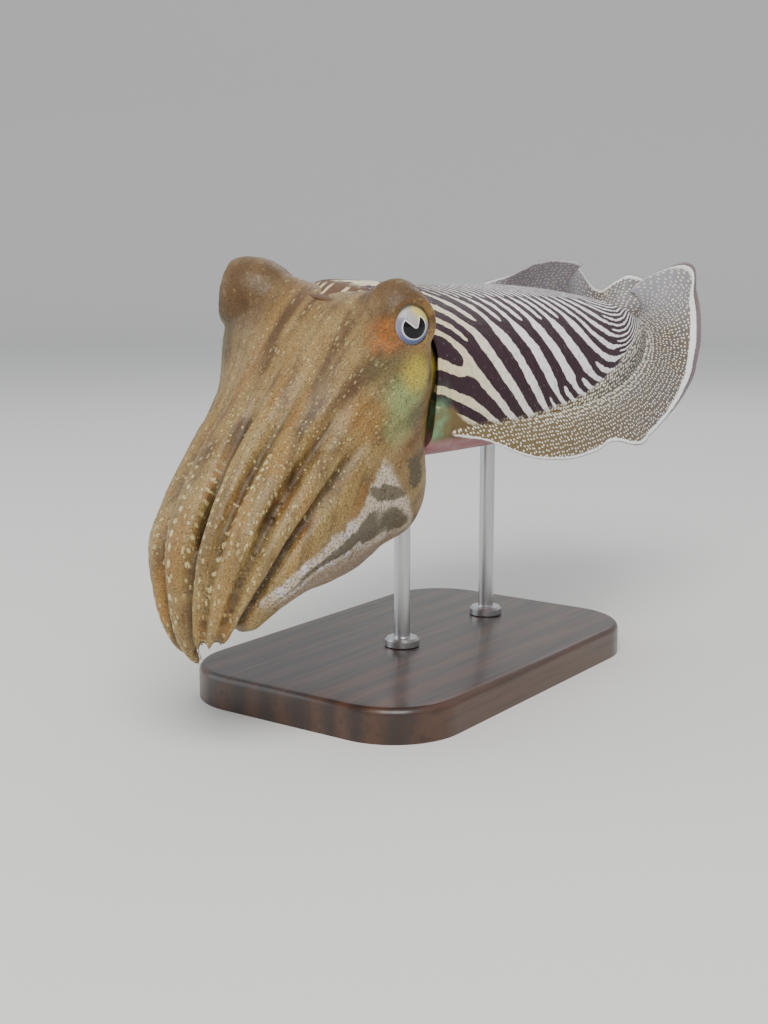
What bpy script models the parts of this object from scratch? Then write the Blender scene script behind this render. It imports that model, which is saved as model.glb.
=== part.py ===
# Common cuttlefish, life size, as a still museum model on a plain display stand.
# Metres, +Z up. The head points towards -X and the animal's left side faces -Y.
# The origin is the middle of the stand's underside.
import math

import bmesh
import bpy
import numpy as np

MM = 0.001
GAP = 0.35 * MM  # clearance between touching nodes

# Where the middle of the mantle's front rim stands above the middle of the base
RIM_X = -45 * MM
RIM_HEIGHT = 121 * MM

# Mantle: the long bag behind the head. Angles run from the dorsal midline to the
# animal's right, so 90 degrees is the right flank and 270 the left one.
MANTLE_LENGTH = 202 * MM
MANTLE_HALF_WIDTH = 43 * MM
MANTLE_RIM_HALF_WIDTH = 40 * MM
MANTLE_DOME = 41 * MM  # height of the back above the flank line
MANTLE_SHOULDER = 5 * MM  # the back is this much higher at the rim
MANTLE_BELLY = 15 * MM  # depth of the belly below the flank line
MANTLE_WIDEST = 0.30  # share of the length where the mantle is widest
FLANK_LINE = -17 * MM  # height of the flank line at the front
FLANK_RISE = 24 * MM  # how far the flank line rises to the tail
TAIL_BEND = -8 * MM  # the tail turns a little to the left
MANTLE_ROLL = math.radians(10)  # the mantle banks to its left
LOBE_REACH = 20 * MM  # the back's lobe lies forward over the head
LOBE_HALF_ANGLE = math.radians(48)
LOBE_DROP = 2 * MM  # and its tip dips by this much
EYE_RECESS = 5 * MM  # the rim steps back behind each eye
EYE_RECESS_ANGLE = math.radians(52)
EYE_RECESS_WIDTH = math.radians(17)
BELLY_NOTCH = 9 * MM  # the rim steps back under the head
BELLY_NOTCH_HALF_ANGLE = math.radians(75)
RIM_BLEND = 0.22  # share of the length over which the rim's shape fades out
LIP_SHARE = 0.955  # the rim's lip: its width as a share of the rim's, and how far it stands out
LIP_REACH = 0.8 * MM
MOUTH_SHARE = 0.80  # inside the lip the front is sunk
MOUTH_DEPTH = 1.5 * MM
MANTLE_AROUND = 38

# Head and arms, as one bundle round a bent core. Each station has its place in the
# plane of symmetry, how far the core points below level there (degrees), and how far
# the skin stands from the core to the side, to the back and to the belly.
STATIONS = np.array([
    # x, z, pitch, side, back, belly
    [17, -1, 0, 29, 21, 19],
    [5, -2, 8, 33, 25.5, 24],
    [-4, -8, 22, 35, 32, 32],
    [-13, -18, 38, 36, 32.5, 41],
    [-22, -28, 44, 35.5, 31, 46],
    [-30, -36, 46, 34.5, 30.5, 45],
    [-39, -44, 44, 33, 29.5, 39],
    [-48, -51, 42, 31, 27, 30.5],
    [-56, -57.5, 44, 28.5, 23.5, 23],
    [-62.5, -63.5, 48, 26, 19.5, 17.5],
    [-68, -70, 56, 22, 15, 13.5],
    [-72, -77, 68, 18, 11, 10.5],
    [-73.5, -84, 84, 13.5, 8.5, 8.5],
    [-71, -90.5, 108, 9, 6.5, 6.5],
])
HEAD_ROLL = math.radians(7)  # the head banks a little to its left, the arms do not
HEAD_ROLL_ENDS = (3.0, 7.5)  # stations between which the roll fades out
ARM_START = 5.0  # the station where the arms leave the head
HEAD_AROUND = 44
GROOVE_DEPTH = 0.07  # of the grooves between the arms, as a share
GROOVE_WIDTH = 0.12

# Eyes
EYE_CENTRE = (-14 * MM, 30.2 * MM, 16.7 * MM)  # the right eyeball; the left is mirrored
EYE_LOOK = (-0.42, 0.88, 0.14)
EYE_RADIUS = 9 * MM
# The lids, turned round the line of sight: distance ahead of the eyeball's middle, radius, mm
LID_PROFILE = ((-5, 10.6), (1.5, 10.8), (4.4, 10.2), (6.4, 9.2), (7.3, 8.2), (6.7, 4.0))
LID_BROW = 0.7  # how far the upper lid leans out, mm
# Bulges of the skin (brow, eye, cheek): station, angle, swell, half-length behind and
# ahead of the station, half-angle
BULGES = ((1.85, math.radians(41), 0.38, 0.5, 0.92, math.radians(22)),
          (2.4, math.radians(65), 0.19, 0.8, 0.9, math.radians(22)),
          (3.3, math.radians(131), 0.19, 1.5, 1.5, math.radians(28)))
SHOULDER_ANGLE = math.radians(38)  # the dorsal arms stand out beside the midline
SHOULDER_WIDTH = math.radians(32)
SHOULDER_SWELL = ((4.5, 0.0), (6.0, 0.08), (8.0, 0.20), (9.5, 0.27), (11.0, 0.2), (13.0, 0.05))

# Funnel under the head
FUNNEL_PATH = np.array([[15, -20, 8.5], [11.5, -30, 8.0], [9, -40, 7.0], [4.5, -50, 5.8],
                        [-1, -58, 5.0]])  # x, z and radius, mm
FUNNEL_WALL = 1.5 * MM
FUNNEL_BORE_DEPTH = 16 * MM
FUNNEL_FLATNESS = 1.15  # its width over its height
FUNNEL_AROUND = 18
VENTRAL_NOTCH = 0.38  # depth of the groove that holds the funnel, as a share
VENTRAL_NOTCH_WIDTH = math.radians(26)

# Arms: eight sectors of the bundle. The ventral pair is the broadest.
ARM_NAMES = ("arm_right_1", "arm_right_2", "arm_right_3", "arm_right_4",
             "arm_left_4", "arm_left_3", "arm_left_2", "arm_left_1")
ARM_EDGES = np.radians([0, 30, 56, 80, 180, 294, 315, 340, 360])  # from the dorsal midline
ARM_ENDS = (13.0, 12.7, 12.0, 11.6, 11.3, 12.0, 12.2, 12.3)
ARM_CORE = 0.42  # the inner faces lie at this share of the bundle's radius
ARM_LENGTHS = ("base", "middle", "tip")
ARM_CUTS = (0.36, 0.68)  # where an arm is divided, as shares of its run
ARM_DIVISION = 0.035  # the gap between two lengths of an arm, in stations
ARM_AROUND = 10
SUCKER_RADIUS = 1.25 * MM
SUCKER_PITCH = 0.34  # in stations
SUCKER_MARGIN = 0.16  # from the last sucker of a length to its end
SUCKER_SINK = 0.75  # the root's depth and the cup's height and hollow, in sucker radii
SUCKER_HEIGHT = 0.85
SUCKER_HOLLOW = 0.4
SUCKER_SIDES = 6
SUCKER_ROWS_TURN = 0.42  # the two rows stand this far to each side of the inner midline

# Fins
FIN_ROOT_THICKNESS = 3.0 * MM
FIN_EDGE_THICKNESS = 0.9 * MM
FIN_ROOT_SUNK = 2.2 * MM  # how deep the root reaches into the flank before it is trimmed
FIN_START = 0.04  # where the fin begins and ends along the mantle
FIN_END = 0.985
FIN_ALONG = 48
FIN_ACROSS = 4
# Keys along each fin from front to back: share of its run, then the width (mm), the
# lift above level and the sweep towards the tail (degrees)
FIN_KEYS = {
    "fin_left": (-1, ((0.0, 1.5, -24, 0), (0.05, 5, -34, 0), (0.12, 13.5, -40, 0), (0.21, 17.5, -44, 0),
                      (0.30, 18, -43, 0), (0.365, 17.3, -40, 0), (0.42, 23, -38, 0), (0.50, 22.5, -40, 0),
                      (0.58, 22, -36, 0), (0.66, 22.3, -30, 0), (0.78, 23.5, -16, 0), (0.85, 24, 2, 0),
                      (0.90, 26.5, 28, 0), (0.93, 30.5, 48, 0), (0.957, 36.7, 64, 0),
                      (0.979, 23.1, 66, 0), (1.0, 14.6, 80, 0))),
    "fin_right": (1, ((0.0, 1.5, -24, 0), (0.05, 6, -32, 0), (0.15, 16, -38, 0), (0.31, 22, -22, 0),
                      (0.44, 25, -4, 0), (0.50, 27, 18, 0), (0.545, 28, 62, 0), (0.575, 31, 88, 0),
                      (0.60, 34.3, 96, 0), (0.64, 37.5, 99, 0), (0.68, 38.3, 101, 0), (0.72, 37.5, 105, 0),
                      (0.75, 37, 110, 0), (0.775, 35, 110, 8), (0.80, 30, 88, 30), (0.825, 26, 54, 42),
                      (0.85, 26.5, 40, 42), (0.87, 28.5, 38, 40), (0.90, 29.5, 46, 42),
                      (0.94, 28.5, 54, 46), (0.975, 29.4, 44, 53), (1.0, 29.3, 36, 58))),
}

# Stand
BASE_SIZE = (164 * MM, 106 * MM, 12 * MM)
BASE_CORNER = 26 * MM
BASE_EDGE = 2 * MM  # bevel round the base's top
ROD_RADIUS = 3 * MM
ROD_AROUND = 20
ROD_PLACES = {"stand_rod_front": -12 * MM, "stand_rod_back": 48 * MM}


def clear_scene():
    for obj in list(bpy.data.objects):
        bpy.data.objects.remove(obj)


def material(name, colour, roughness, metallic=0.0):
    made = bpy.data.materials.new(name)
    made.use_nodes = True
    shader = made.node_tree.nodes["Principled BSDF"]
    shader.inputs["Base Color"].default_value = (*colour, 1)
    shader.inputs["Roughness"].default_value = roughness
    shader.inputs["Metallic"].default_value = metallic
    return made


def smooth_between(keys, values, at):
    """Values on a smooth curve through the keys (Catmull-Rom), for one or many places."""
    keys = np.asarray(keys, float)
    values = np.asarray(values, float).reshape(len(keys), -1)
    slopes = np.gradient(values, keys, axis=0)
    at = np.clip(np.asarray(at, float), keys[0], keys[-1])
    i = np.clip(np.searchsorted(keys, at, side="right") - 1, 0, len(keys) - 2)
    span = keys[i + 1] - keys[i]
    s = ((at - keys[i]) / span)[..., None]
    span = span[..., None]
    return ((2 * s**3 - 3 * s**2 + 1) * values[i] + (s**3 - 2 * s**2 + s) * span * slopes[i]
            + (3 * s**2 - 2 * s**3) * values[i + 1] + (s**3 - s**2) * span * slopes[i + 1])


def bell(distance, width):
    return np.exp(-(distance / width) ** 2)


def smooth_step(s):
    return s * s * (3 - 2 * s)


def turn_between(angle, centre):
    """The signed turn from centre to angle, within half a turn."""
    return (angle - centre + math.pi) % (2 * math.pi) - math.pi


# Mantle surface

def mantle_profile(u, power):
    """1 at the widest place, falling to 0 at the tail's round end."""
    behind = np.clip((u - MANTLE_WIDEST) / (1 - MANTLE_WIDEST), 0, 1)
    return (1 - behind**2.2) ** power


def mantle_point(u, angle, clearance=0.0):
    u, angle = np.broadcast_arrays(np.asarray(u, float), np.asarray(angle, float))
    before = np.clip((MANTLE_WIDEST - u) / MANTLE_WIDEST, 0, 1) ** 2
    narrowing = (MANTLE_HALF_WIDTH - MANTLE_RIM_HALF_WIDTH) * before
    side = (MANTLE_HALF_WIDTH - narrowing) * mantle_profile(u, 0.62)
    dome = (MANTLE_DOME + MANTLE_SHOULDER * before) * mantle_profile(u, 0.75)
    belly = MANTLE_BELLY * mantle_profile(u, 0.62)
    sine, cosine = np.sin(angle), np.cos(angle)
    y = (side + clearance) * np.sign(sine) * np.abs(sine) ** 0.9
    height = np.where(cosine > 0, dome, belly) + clearance
    z = height * np.sign(cosine) * np.abs(cosine) ** 0.95
    dorsal = np.clip(1 - np.abs(turn_between(angle, 0)) / LOBE_HALF_ANGLE, 0, 1)
    ventral = np.clip(1 - np.abs(turn_between(angle, math.pi)) / BELLY_NOTCH_HALF_ANGLE, 0, 1)
    rim = BELLY_NOTCH * smooth_step(ventral) - LOBE_REACH * smooth_step(dorsal)
    beside = np.abs(np.abs(turn_between(angle, 0)) - EYE_RECESS_ANGLE)
    rim = rim + EYE_RECESS * bell(beside, EYE_RECESS_WIDTH)
    fade = np.clip(1 - u / RIM_BLEND, 0, 1) ** 2
    x = u * MANTLE_LENGTH + rim * fade
    drop = LOBE_DROP * smooth_step(dorsal) * fade * fade
    z = z - drop + FLANK_LINE + FLANK_RISE * u**3.5
    y = y + TAIL_BEND * u**2
    cr, sr = math.cos(MANTLE_ROLL), math.sin(MANTLE_ROLL)
    return np.stack([x, y * cr - z * sr, y * sr + z * cr], axis=-1)


# Head and arm bundle

def crown_point(t, angle, depth=1.0, clearance=0.0):
    """A place at station t, turned from the dorsal midline, with depth 1 on the skin."""
    t, angle, depth = np.broadcast_arrays(*(np.asarray(v, float) for v in (t, angle, depth)))
    row = smooth_between(range(len(STATIONS)), STATIONS, t)
    pitch = np.radians(row[..., 2])
    side, back, belly = (row[..., i] * MM for i in (3, 4, 5))
    sine, cosine = np.sin(angle), np.cos(angle)
    swell = 1 + 0 * t
    shoulder = smooth_between(*zip(*SHOULDER_SWELL), t)[..., 0]
    for hand in (1, -1):
        for station, where, amount, behind, ahead, width in BULGES:
            near = amount * bell(t - station, np.where(t < station, behind, ahead))
            swell = swell + near * bell(turn_between(angle, hand * where), width)
        swell = swell + shoulder * bell(turn_between(angle, hand * SHOULDER_ANGLE), SHOULDER_WIDTH)
    in_head = bell(t - 2.9, 2.0)
    below = turn_between(angle, math.pi)
    swell = swell - VENTRAL_NOTCH * in_head * bell(below, VENTRAL_NOTCH_WIDTH)
    between = sum(bell(turn_between(angle, edge), GROOVE_WIDTH) for edge in ARM_EDGES[:-1])
    groove = GROOVE_DEPTH * np.clip((t - 3.0) / 2.0, 0, 1) ** 1.5 * between
    swell = swell * (1 - groove)
    across = sine * (side * swell * depth + clearance)
    up = cosine * (np.where(cosine > 0, back, belly) * swell * depth + clearance)
    x = row[..., 0] * MM - np.sin(pitch) * up
    z = row[..., 1] * MM + np.cos(pitch) * up
    first, last = HEAD_ROLL_ENDS
    roll = HEAD_ROLL * smooth_step(np.clip((last - t) / (last - first), 0, 1))
    return np.stack([x, across * np.cos(roll) - z * np.sin(roll),
                     across * np.sin(roll) + z * np.cos(roll)], axis=-1)


def placed(points):
    """From the animal's own frame to the stand's."""
    return np.asarray(points) + np.array([RIM_X, 0, RIM_HEIGHT])


def mesh_object(name, points, faces, look):
    mesh = bpy.data.meshes.new(name)
    mesh.from_pydata([tuple(p) for p in points], [], faces)
    mesh.validate()
    obj = bpy.data.objects.new(name, mesh)
    bpy.context.scene.collection.objects.link(obj)
    if look is not None:
        mesh.materials.append(look)
    bm = bmesh.new()
    bm.from_mesh(mesh)
    bmesh.ops.recalc_face_normals(bm, faces=bm.faces)
    bm.to_mesh(mesh)
    bm.free()
    mesh.shade_smooth()
    return obj


def ladder_cap(start, around):
    """Closes a crescent ring by rungs from its outer points to the inner ones facing them."""
    faces, half = [], around // 2
    for k in range(half // 2):
        for rung in ((k, k + 1, half - k - 1, half - k), (-k, -k - 1, k + 1 - half, k - half)):
            a, b, c, d = (start + i % around for i in rung)
            faces.append((a, b, d))
            if b != c:
                faces.append((b, c, d))
    return faces


def loft(name, rings, look, crescent=False):
    """A closed solid through rings of equal point counts, its ends closed by fans or rungs."""
    rings = placed(rings)
    count, around = rings.shape[:2]
    points = list(rings.reshape(-1, 3))
    faces = []
    if crescent:
        faces += ladder_cap(0, around) + ladder_cap((count - 1) * around, around)
    else:
        points += [rings[0].mean(0), rings[-1].mean(0)]
    for i in range(count - 1):
        for j in range(around):
            k = (j + 1) % around
            a, b, c, d = i * around + j, i * around + k, (i + 1) * around + k, (i + 1) * around + j
            faces += [(a, b, c), (a, c, d)]
    first, last = count * around, count * around + 1
    for j in range(around if not crescent else 0):
        k = (j + 1) % around
        faces.append((first, k, j))
        faces.append((last, (count - 1) * around + j, (count - 1) * around + k))
    return mesh_object(name, points, faces, look)


def helper(obj):
    obj.hide_render = True
    obj.display_type = "WIRE"
    return obj


def boolean(obj, other, operation):
    step = obj.modifiers.new(operation.lower(), "BOOLEAN")
    step.operation = operation
    step.object = other
    graph = bpy.context.evaluated_depsgraph_get()
    mesh = bpy.data.meshes.new_from_object(obj.evaluated_get(graph))
    obj.modifiers.clear()
    obj.data = mesh


def keep_largest(obj):
    """Keeps the largest closed surface of a mesh, with its doubled points merged."""
    bm = bmesh.new()
    bm.from_mesh(obj.data)
    bmesh.ops.remove_doubles(bm, verts=bm.verts, dist=0.003 * MM)
    left, groups = set(bm.faces), []
    while left:
        todo, group = [left.pop()], []
        while todo:
            face = todo.pop()
            group.append(face)
            for edge in face.edges:
                for other in edge.link_faces:
                    if other in left:
                        left.remove(other)
                        todo.append(other)
        groups.append(group)
    groups.sort(key=lambda g: sum(f.calc_area() for f in g))
    scraps = [face for group in groups[:-1] for face in group]
    bmesh.ops.delete(bm, geom=scraps, context="FACES")
    bm.to_mesh(obj.data)
    bm.free()


# Nodes

def mantle_rings(clearance=0.0):
    angles = np.arange(MANTLE_AROUND) * 2 * math.pi / MANTLE_AROUND
    along = np.concatenate([np.linspace(0, 0.24, 7), np.linspace(0.29, 0.86, 12),
                            np.array([0.90, 0.935, 0.965, 0.985, 0.997])])
    return np.stack([mantle_point(u, angles, clearance) for u in along])


def make_mantle(look, cutters):
    """The bag, with a rounded lip at its rim and the neck's room cut out of its front."""
    outer = mantle_rings()
    rim = outer[0]
    middle = rim.mean(0)
    lip = middle + (rim - middle) * LIP_SHARE
    lip[:, 0] = rim[:, 0] - LIP_REACH
    inner = middle + (rim - middle) * MOUTH_SHARE
    inner[:, 0] = rim[:, 0] + MOUTH_DEPTH
    mantle = loft("mantle", np.stack([inner, lip, *outer]), look)
    for cutter in cutters:
        boolean(mantle, cutter, "DIFFERENCE")
    keep_largest(mantle)


def head_shape(name, look, clearance=0.0):
    angles = np.arange(HEAD_AROUND) * 2 * math.pi / HEAD_AROUND
    along = np.concatenate([np.linspace(0.33, ARM_START - 0.45, 17), [ARM_START]])
    if clearance:
        along = np.concatenate([[0.28], along[1:]])
    return loft(name, np.stack([crown_point(t, angles, 1.0, clearance) for t in along]), look)


def eye_place(hand):
    """Middle of an eyeball and the way it looks."""
    mirror = np.array([1, hand, 1])
    cr, sr = math.cos(HEAD_ROLL), math.sin(HEAD_ROLL)
    turned = np.array([[1, 0, 0], [0, cr, -sr], [0, sr, cr]])
    look = turned @ (np.array(EYE_LOOK) * mirror)
    return turned @ (np.array(EYE_CENTRE) * mirror), look / np.linalg.norm(look)


def turned_round_eye(name, hand, profile, count, brow=0.0):
    """A solid turned round an eye's line of sight: distance ahead and radius, mm."""
    centre, look = eye_place(hand)
    up = np.array([0, 0, 1]) - look * look[2]
    up /= np.linalg.norm(up)
    side = np.cross(look, up)
    a = np.arange(count)[:, None] * 2 * math.pi / count
    rings = []
    for ahead, radius in profile:
        out = radius * (np.cos(a) * up + np.sin(a) * side)
        rings.append(centre + MM * (look * (ahead + brow * np.cos(a)) + out))
    return helper(loft(name, np.stack(rings), None))


def socket(name, hand):
    """The room an eyeball needs: the ball with its clearance, opening outwards."""
    radius = EYE_RADIUS / MM + 0.7
    tilt = np.radians(np.linspace(172, 48, 8))
    profile = [(radius * math.cos(a), radius * math.sin(a)) for a in tilt]
    return turned_round_eye(name, hand, profile + [(8.4, 7.4), (20, 11)], 18)


def lids(name, hand, clearance=0.0):
    """The mound of skin round an eye, whose crest is the lids; the upper one stands out."""
    profile = [(ahead + clearance, radius + clearance) for ahead, radius in LID_PROFILE]
    return turned_round_eye(name, hand, profile, 18, LID_BROW)


def make_head(look, mounds, cutters):
    head = head_shape("head", look)
    for mound in mounds:
        boolean(head, mound, "UNION")
    for cutter in cutters:
        boolean(head, cutter, "DIFFERENCE")
    keep_largest(head)


def funnel_tube(name, grow, look):
    """The funnel's outer shape, swept along its path."""
    path = FUNNEL_PATH * MM
    s = np.linspace(0, len(path) - 1, 11)
    middle = smooth_between(range(len(path)), path, s)
    heading = np.gradient(middle[:, :2], axis=0)
    heading /= np.linalg.norm(heading, axis=1)[:, None]
    b = np.arange(FUNNEL_AROUND) * 2 * math.pi / FUNNEL_AROUND
    rings = []
    for (x, z, radius), (hx, hz) in zip(middle, heading):
        across, out = np.sin(b) * (radius * FUNNEL_FLATNESS + grow), np.cos(b) * (radius + grow)
        rings.append(np.stack([x - hz * out, across, z + hx * out], axis=-1))
    return loft(name, np.stack(rings), look), middle, heading


def make_funnel(look):
    funnel, middle, heading = funnel_tube("funnel", 0.0, look)
    (x, z, radius), (hx, hz) = middle[-1], heading[-1]
    b = np.arange(FUNNEL_AROUND) * 2 * math.pi / FUNNEL_AROUND
    rings = []
    for depth, share in ((-2 * MM, 1.05), (FUNNEL_BORE_DEPTH * 0.5, 0.95), (FUNNEL_BORE_DEPTH, 0.5)):
        bore = (radius - FUNNEL_WALL) * share
        across, out = np.sin(b) * bore * FUNNEL_FLATNESS, np.cos(b) * bore
        rings.append(np.stack([x - hx * depth - hz * out, across, z - hz * depth + hx * out], axis=-1))
    bore = helper(loft("funnel_bore", np.stack(rings), None))
    boolean(funnel, bore, "DIFFERENCE")
    keep_largest(funnel)


def ball(name, centre, radius, look):
    bm = bmesh.new()
    bmesh.ops.create_uvsphere(bm, u_segments=18, v_segments=10, radius=radius)
    bmesh.ops.translate(bm, verts=bm.verts, vec=placed(centre))
    mesh = bpy.data.meshes.new(name)
    bm.to_mesh(mesh)
    bm.free()
    obj = bpy.data.objects.new(name, mesh)
    bpy.context.scene.collection.objects.link(obj)
    if look is not None:
        mesh.materials.append(look)
    mesh.shade_smooth()
    return obj


def arm_point(index, t, turn, end):
    """A place on an arm's skin: turn 0 is the middle of its outer face, half a turn the inner."""
    sector = (ARM_EDGES[index] + ARM_EDGES[index + 1]) / 2
    spread = (ARM_EDGES[index + 1] - ARM_EDGES[index]) / 2
    t, turn = np.broadcast_arrays(np.asarray(t, float), np.asarray(turn, float))
    run = np.clip((t - ARM_START) / (end - ARM_START), 0, 1)
    square = 0.45 + 0.3 * run
    across = np.sign(np.sin(turn)) * np.abs(np.sin(turn)) ** square
    out = np.sign(np.cos(turn)) * np.abs(np.cos(turn)) ** square
    row = smooth_between(range(len(STATIONS)), STATIONS, t)
    radius = (row[..., 3] * 2 + row[..., 4] + row[..., 5]) / 4 * MM
    taper = np.sqrt(np.clip(1 - run**10, 0.0, 1))
    half = (1 - ARM_CORE) / 2 * (0.35 + 0.65 * taper)
    depth = (1 + ARM_CORE) / 2 + out * half
    angle = sector + across * (spread * (0.35 + 0.65 * taper) - 0.6 * GAP / (radius * depth))
    return crown_point(t, angle, depth)


def sucker(middle, normal, ahead, radius):
    """A short cup with its root sunk in the arm: points and faces."""
    side = np.cross(normal, ahead)
    side /= np.linalg.norm(side)
    front = np.cross(side, normal)
    points = []
    for height, share in ((-SUCKER_SINK, 0.7), (SUCKER_HEIGHT, 1.0)):
        for k in range(SUCKER_SIDES):
            a = (k + 0.5) * 2 * math.pi / SUCKER_SIDES
            out = math.cos(a) * front + math.sin(a) * side
            points.append(middle + radius * (normal * height + share * out))
    points.append(middle - normal * radius * SUCKER_SINK)
    points.append(middle + normal * radius * (SUCKER_HEIGHT - SUCKER_HOLLOW))
    faces = []
    low, high = len(points) - 2, len(points) - 1
    for k in range(SUCKER_SIDES):
        n = (k + 1) % SUCKER_SIDES
        up, next_up = SUCKER_SIDES + k, SUCKER_SIDES + n
        faces += [(k, n, next_up), (k, next_up, up), (low, n, k), (high, up, next_up)]
    return points, faces


def sucker_group(name, index, first, last, end):
    """All suckers of one length of an arm, in two rows that alternate."""
    points, faces = [], []
    count = round((last - first) / SUCKER_PITCH)
    for k in range(count):
        t = first + (last - first) * (k + 0.5) / count
        run = (t - ARM_START) / (end - ARM_START)
        radius = SUCKER_RADIUS * (1 - 0.62 * run) * (0.93 + 0.07 * math.sin(5.1 * k + index))
        turn = math.pi + (1 if k % 2 else -1) * SUCKER_ROWS_TURN
        here = arm_point(index, t, turn, end)
        ahead = arm_point(index, t + 0.02, turn, end) - here
        across = arm_point(index, t, turn + 0.05, end) - arm_point(index, t, turn - 0.05, end)
        normal = np.cross(across, ahead)
        normal /= np.linalg.norm(normal)
        core = crown_point(t, 0, 0)
        if np.dot(normal, core - here) < 0:
            normal = -normal
        cup, sides = sucker(here, normal, ahead / np.linalg.norm(ahead), radius)
        faces += [tuple(len(points) + i for i in face) for face in sides]
        points += cup
    return helper(mesh_object(name, placed(np.array(points)), faces, None))


def make_arm(index, look):
    name, end = ARM_NAMES[index], ARM_ENDS[index]
    marks = [ARM_START, *(ARM_START + (end - ARM_START) * c for c in ARM_CUTS), end]
    broad = ARM_EDGES[index + 1] - ARM_EDGES[index] > math.pi / 4
    around = ARM_AROUND + 6 if broad else ARM_AROUND
    turns = np.arange(around) * 2 * math.pi / around
    for part, first, last in zip(ARM_LENGTHS, marks[:-1], marks[1:]):
        start = first + ARM_DIVISION
        steps = max(4, round((last - start) / 0.45))
        along = np.linspace(start, last, steps + 1)
        if last == end:
            along = start + (last - start) * np.sin(np.linspace(0, math.pi / 2, steps + 2))
        rings = np.stack([arm_point(index, t, turns, end) for t in along])
        arm = loft(f"{name}_{part}", rings, look, crescent=True)
        ends = start + SUCKER_MARGIN, last - SUCKER_MARGIN
        cups = sucker_group(f"{name}_{part}_suckers", index, *ends, end)
        boolean(arm, cups, "UNION")
        keep_largest(arm)
        bpy.data.objects.remove(cups)


def fin_lines(hand, keys, count, across):
    """Points of the fin's middle surface, from its root out to its edge."""
    s = np.linspace(0, 1, count)
    keys = np.array(keys, float)
    width, lift, sweep = smooth_between(keys[:, 0], keys[:, 1:], s).T
    width, lift, sweep = width * MM, np.radians(lift), np.radians(sweep)
    u = FIN_START + (FIN_END - FIN_START) * (1 - (1 - s) ** 1.5)
    root = mantle_point(u, hand * math.pi / 2)
    ahead = np.gradient(root, axis=0)
    ahead /= np.linalg.norm(ahead, axis=1)[:, None]
    up = np.array([0, -math.sin(MANTLE_ROLL), math.cos(MANTLE_ROLL)])
    outward = np.cross(ahead, up) * -hand
    outward /= np.linalg.norm(outward, axis=1)[:, None]
    astern = np.cross(up, outward) * -hand
    outward = outward * np.cos(sweep)[:, None] + astern * np.sin(sweep)[:, None]
    rows = []
    for w in np.linspace(0, 1, across):
        tilt = lift * (0.55 + 0.45 * w)
        step = np.cos(tilt)[:, None] * outward + np.sin(tilt)[:, None] * up
        rows.append(root + step * (width * w)[:, None])
    return np.stack(rows, axis=1), outward


def make_fin(name, hand, keys, look, mantle_cutter):
    """A rippling sheet, triangled alike on both faces, whose root meets the flank."""
    count, across = FIN_ALONG, FIN_ACROSS
    middle, outward = fin_lines(hand, keys, count, across)
    normal = np.cross(np.gradient(middle, axis=0), np.gradient(middle, axis=1))
    normal /= np.linalg.norm(normal, axis=2)[..., None] + 1e-12
    thick = np.linspace(FIN_ROOT_THICKNESS, FIN_EDGE_THICKNESS, across) / 2
    top = middle + normal * thick[None, :, None]
    under = middle - normal * thick[None, :, None]
    sunk = outward * -FIN_ROOT_SUNK
    top = np.concatenate([(top[:, 0] + sunk)[:, None], top], axis=1)
    under = np.concatenate([(under[:, 0] + sunk)[:, None], under], axis=1)
    points = np.concatenate([placed(top).reshape(-1, 3), placed(under).reshape(-1, 3)])
    wide, half = across + 1, count * (across + 1)
    faces = []
    for i in range(count - 1):
        for j in range(wide - 1):
            a, b = i * wide + j, i * wide + j + 1
            c, d = a + wide, b + wide
            faces += [(a, b, d), (a, d, c), (half + a, half + d, half + b), (half + a, half + c, half + d)]
        for j in (0, wide - 1):
            a, c = i * wide + j, (i + 1) * wide + j
            faces += [(a, c, half + c), (a, half + c, half + a)]
    for i in (0, count - 1):
        for j in range(wide - 1):
            a, b = i * wide + j, i * wide + j + 1
            faces += [(a, b, half + b), (a, half + b, half + a)]
    fin = mesh_object(name, points, faces, look)
    boolean(fin, mantle_cutter, "DIFFERENCE")
    keep_largest(fin)


def make_stand(wood, steel, mantle_cutter):
    """A flat base with rounded corners and two rods up to the belly."""
    bm = bmesh.new()
    bmesh.ops.create_cube(bm, size=1)
    bmesh.ops.scale(bm, verts=bm.verts, vec=BASE_SIZE)
    bmesh.ops.translate(bm, verts=bm.verts, vec=(0, 0, BASE_SIZE[2] / 2))
    upright = [e for e in bm.edges if abs(e.verts[0].co.z - e.verts[1].co.z) > BASE_SIZE[2] / 2]
    bmesh.ops.bevel(bm, geom=upright, offset=BASE_CORNER, segments=8, profile=0.5,
                    affect="EDGES", material=-1)
    rim = [e for e in bm.edges if min(v.co.z for v in e.verts) > BASE_SIZE[2] * 0.99
           and len(e.link_faces) == 2 and e.calc_face_angle() > 1]
    bmesh.ops.bevel(bm, geom=rim, offset=BASE_EDGE, segments=2, profile=0.5, affect="EDGES",
                    material=-1)
    mesh = bpy.data.meshes.new("stand_base")
    bm.to_mesh(mesh)
    bm.free()
    base = bpy.data.objects.new("stand_base", mesh)
    bpy.context.scene.collection.objects.link(base)
    mesh.materials.append(wood)
    for name, x in ROD_PLACES.items():
        bm = bmesh.new()
        height = RIM_HEIGHT - BASE_SIZE[2]
        bmesh.ops.create_cone(bm, cap_ends=True, segments=ROD_AROUND, radius1=ROD_RADIUS,
                              radius2=ROD_RADIUS, depth=height)
        bmesh.ops.translate(bm, verts=bm.verts, vec=(x, 0, BASE_SIZE[2] + GAP + height / 2))
        mesh = bpy.data.meshes.new(name)
        bm.to_mesh(mesh)
        bm.free()
        rod = bpy.data.objects.new(name, mesh)
        bpy.context.scene.collection.objects.link(rod)
        mesh.materials.append(steel)
        mesh.shade_smooth()
        boolean(rod, mantle_cutter, "DIFFERENCE")
        keep_largest(rod)


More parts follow.
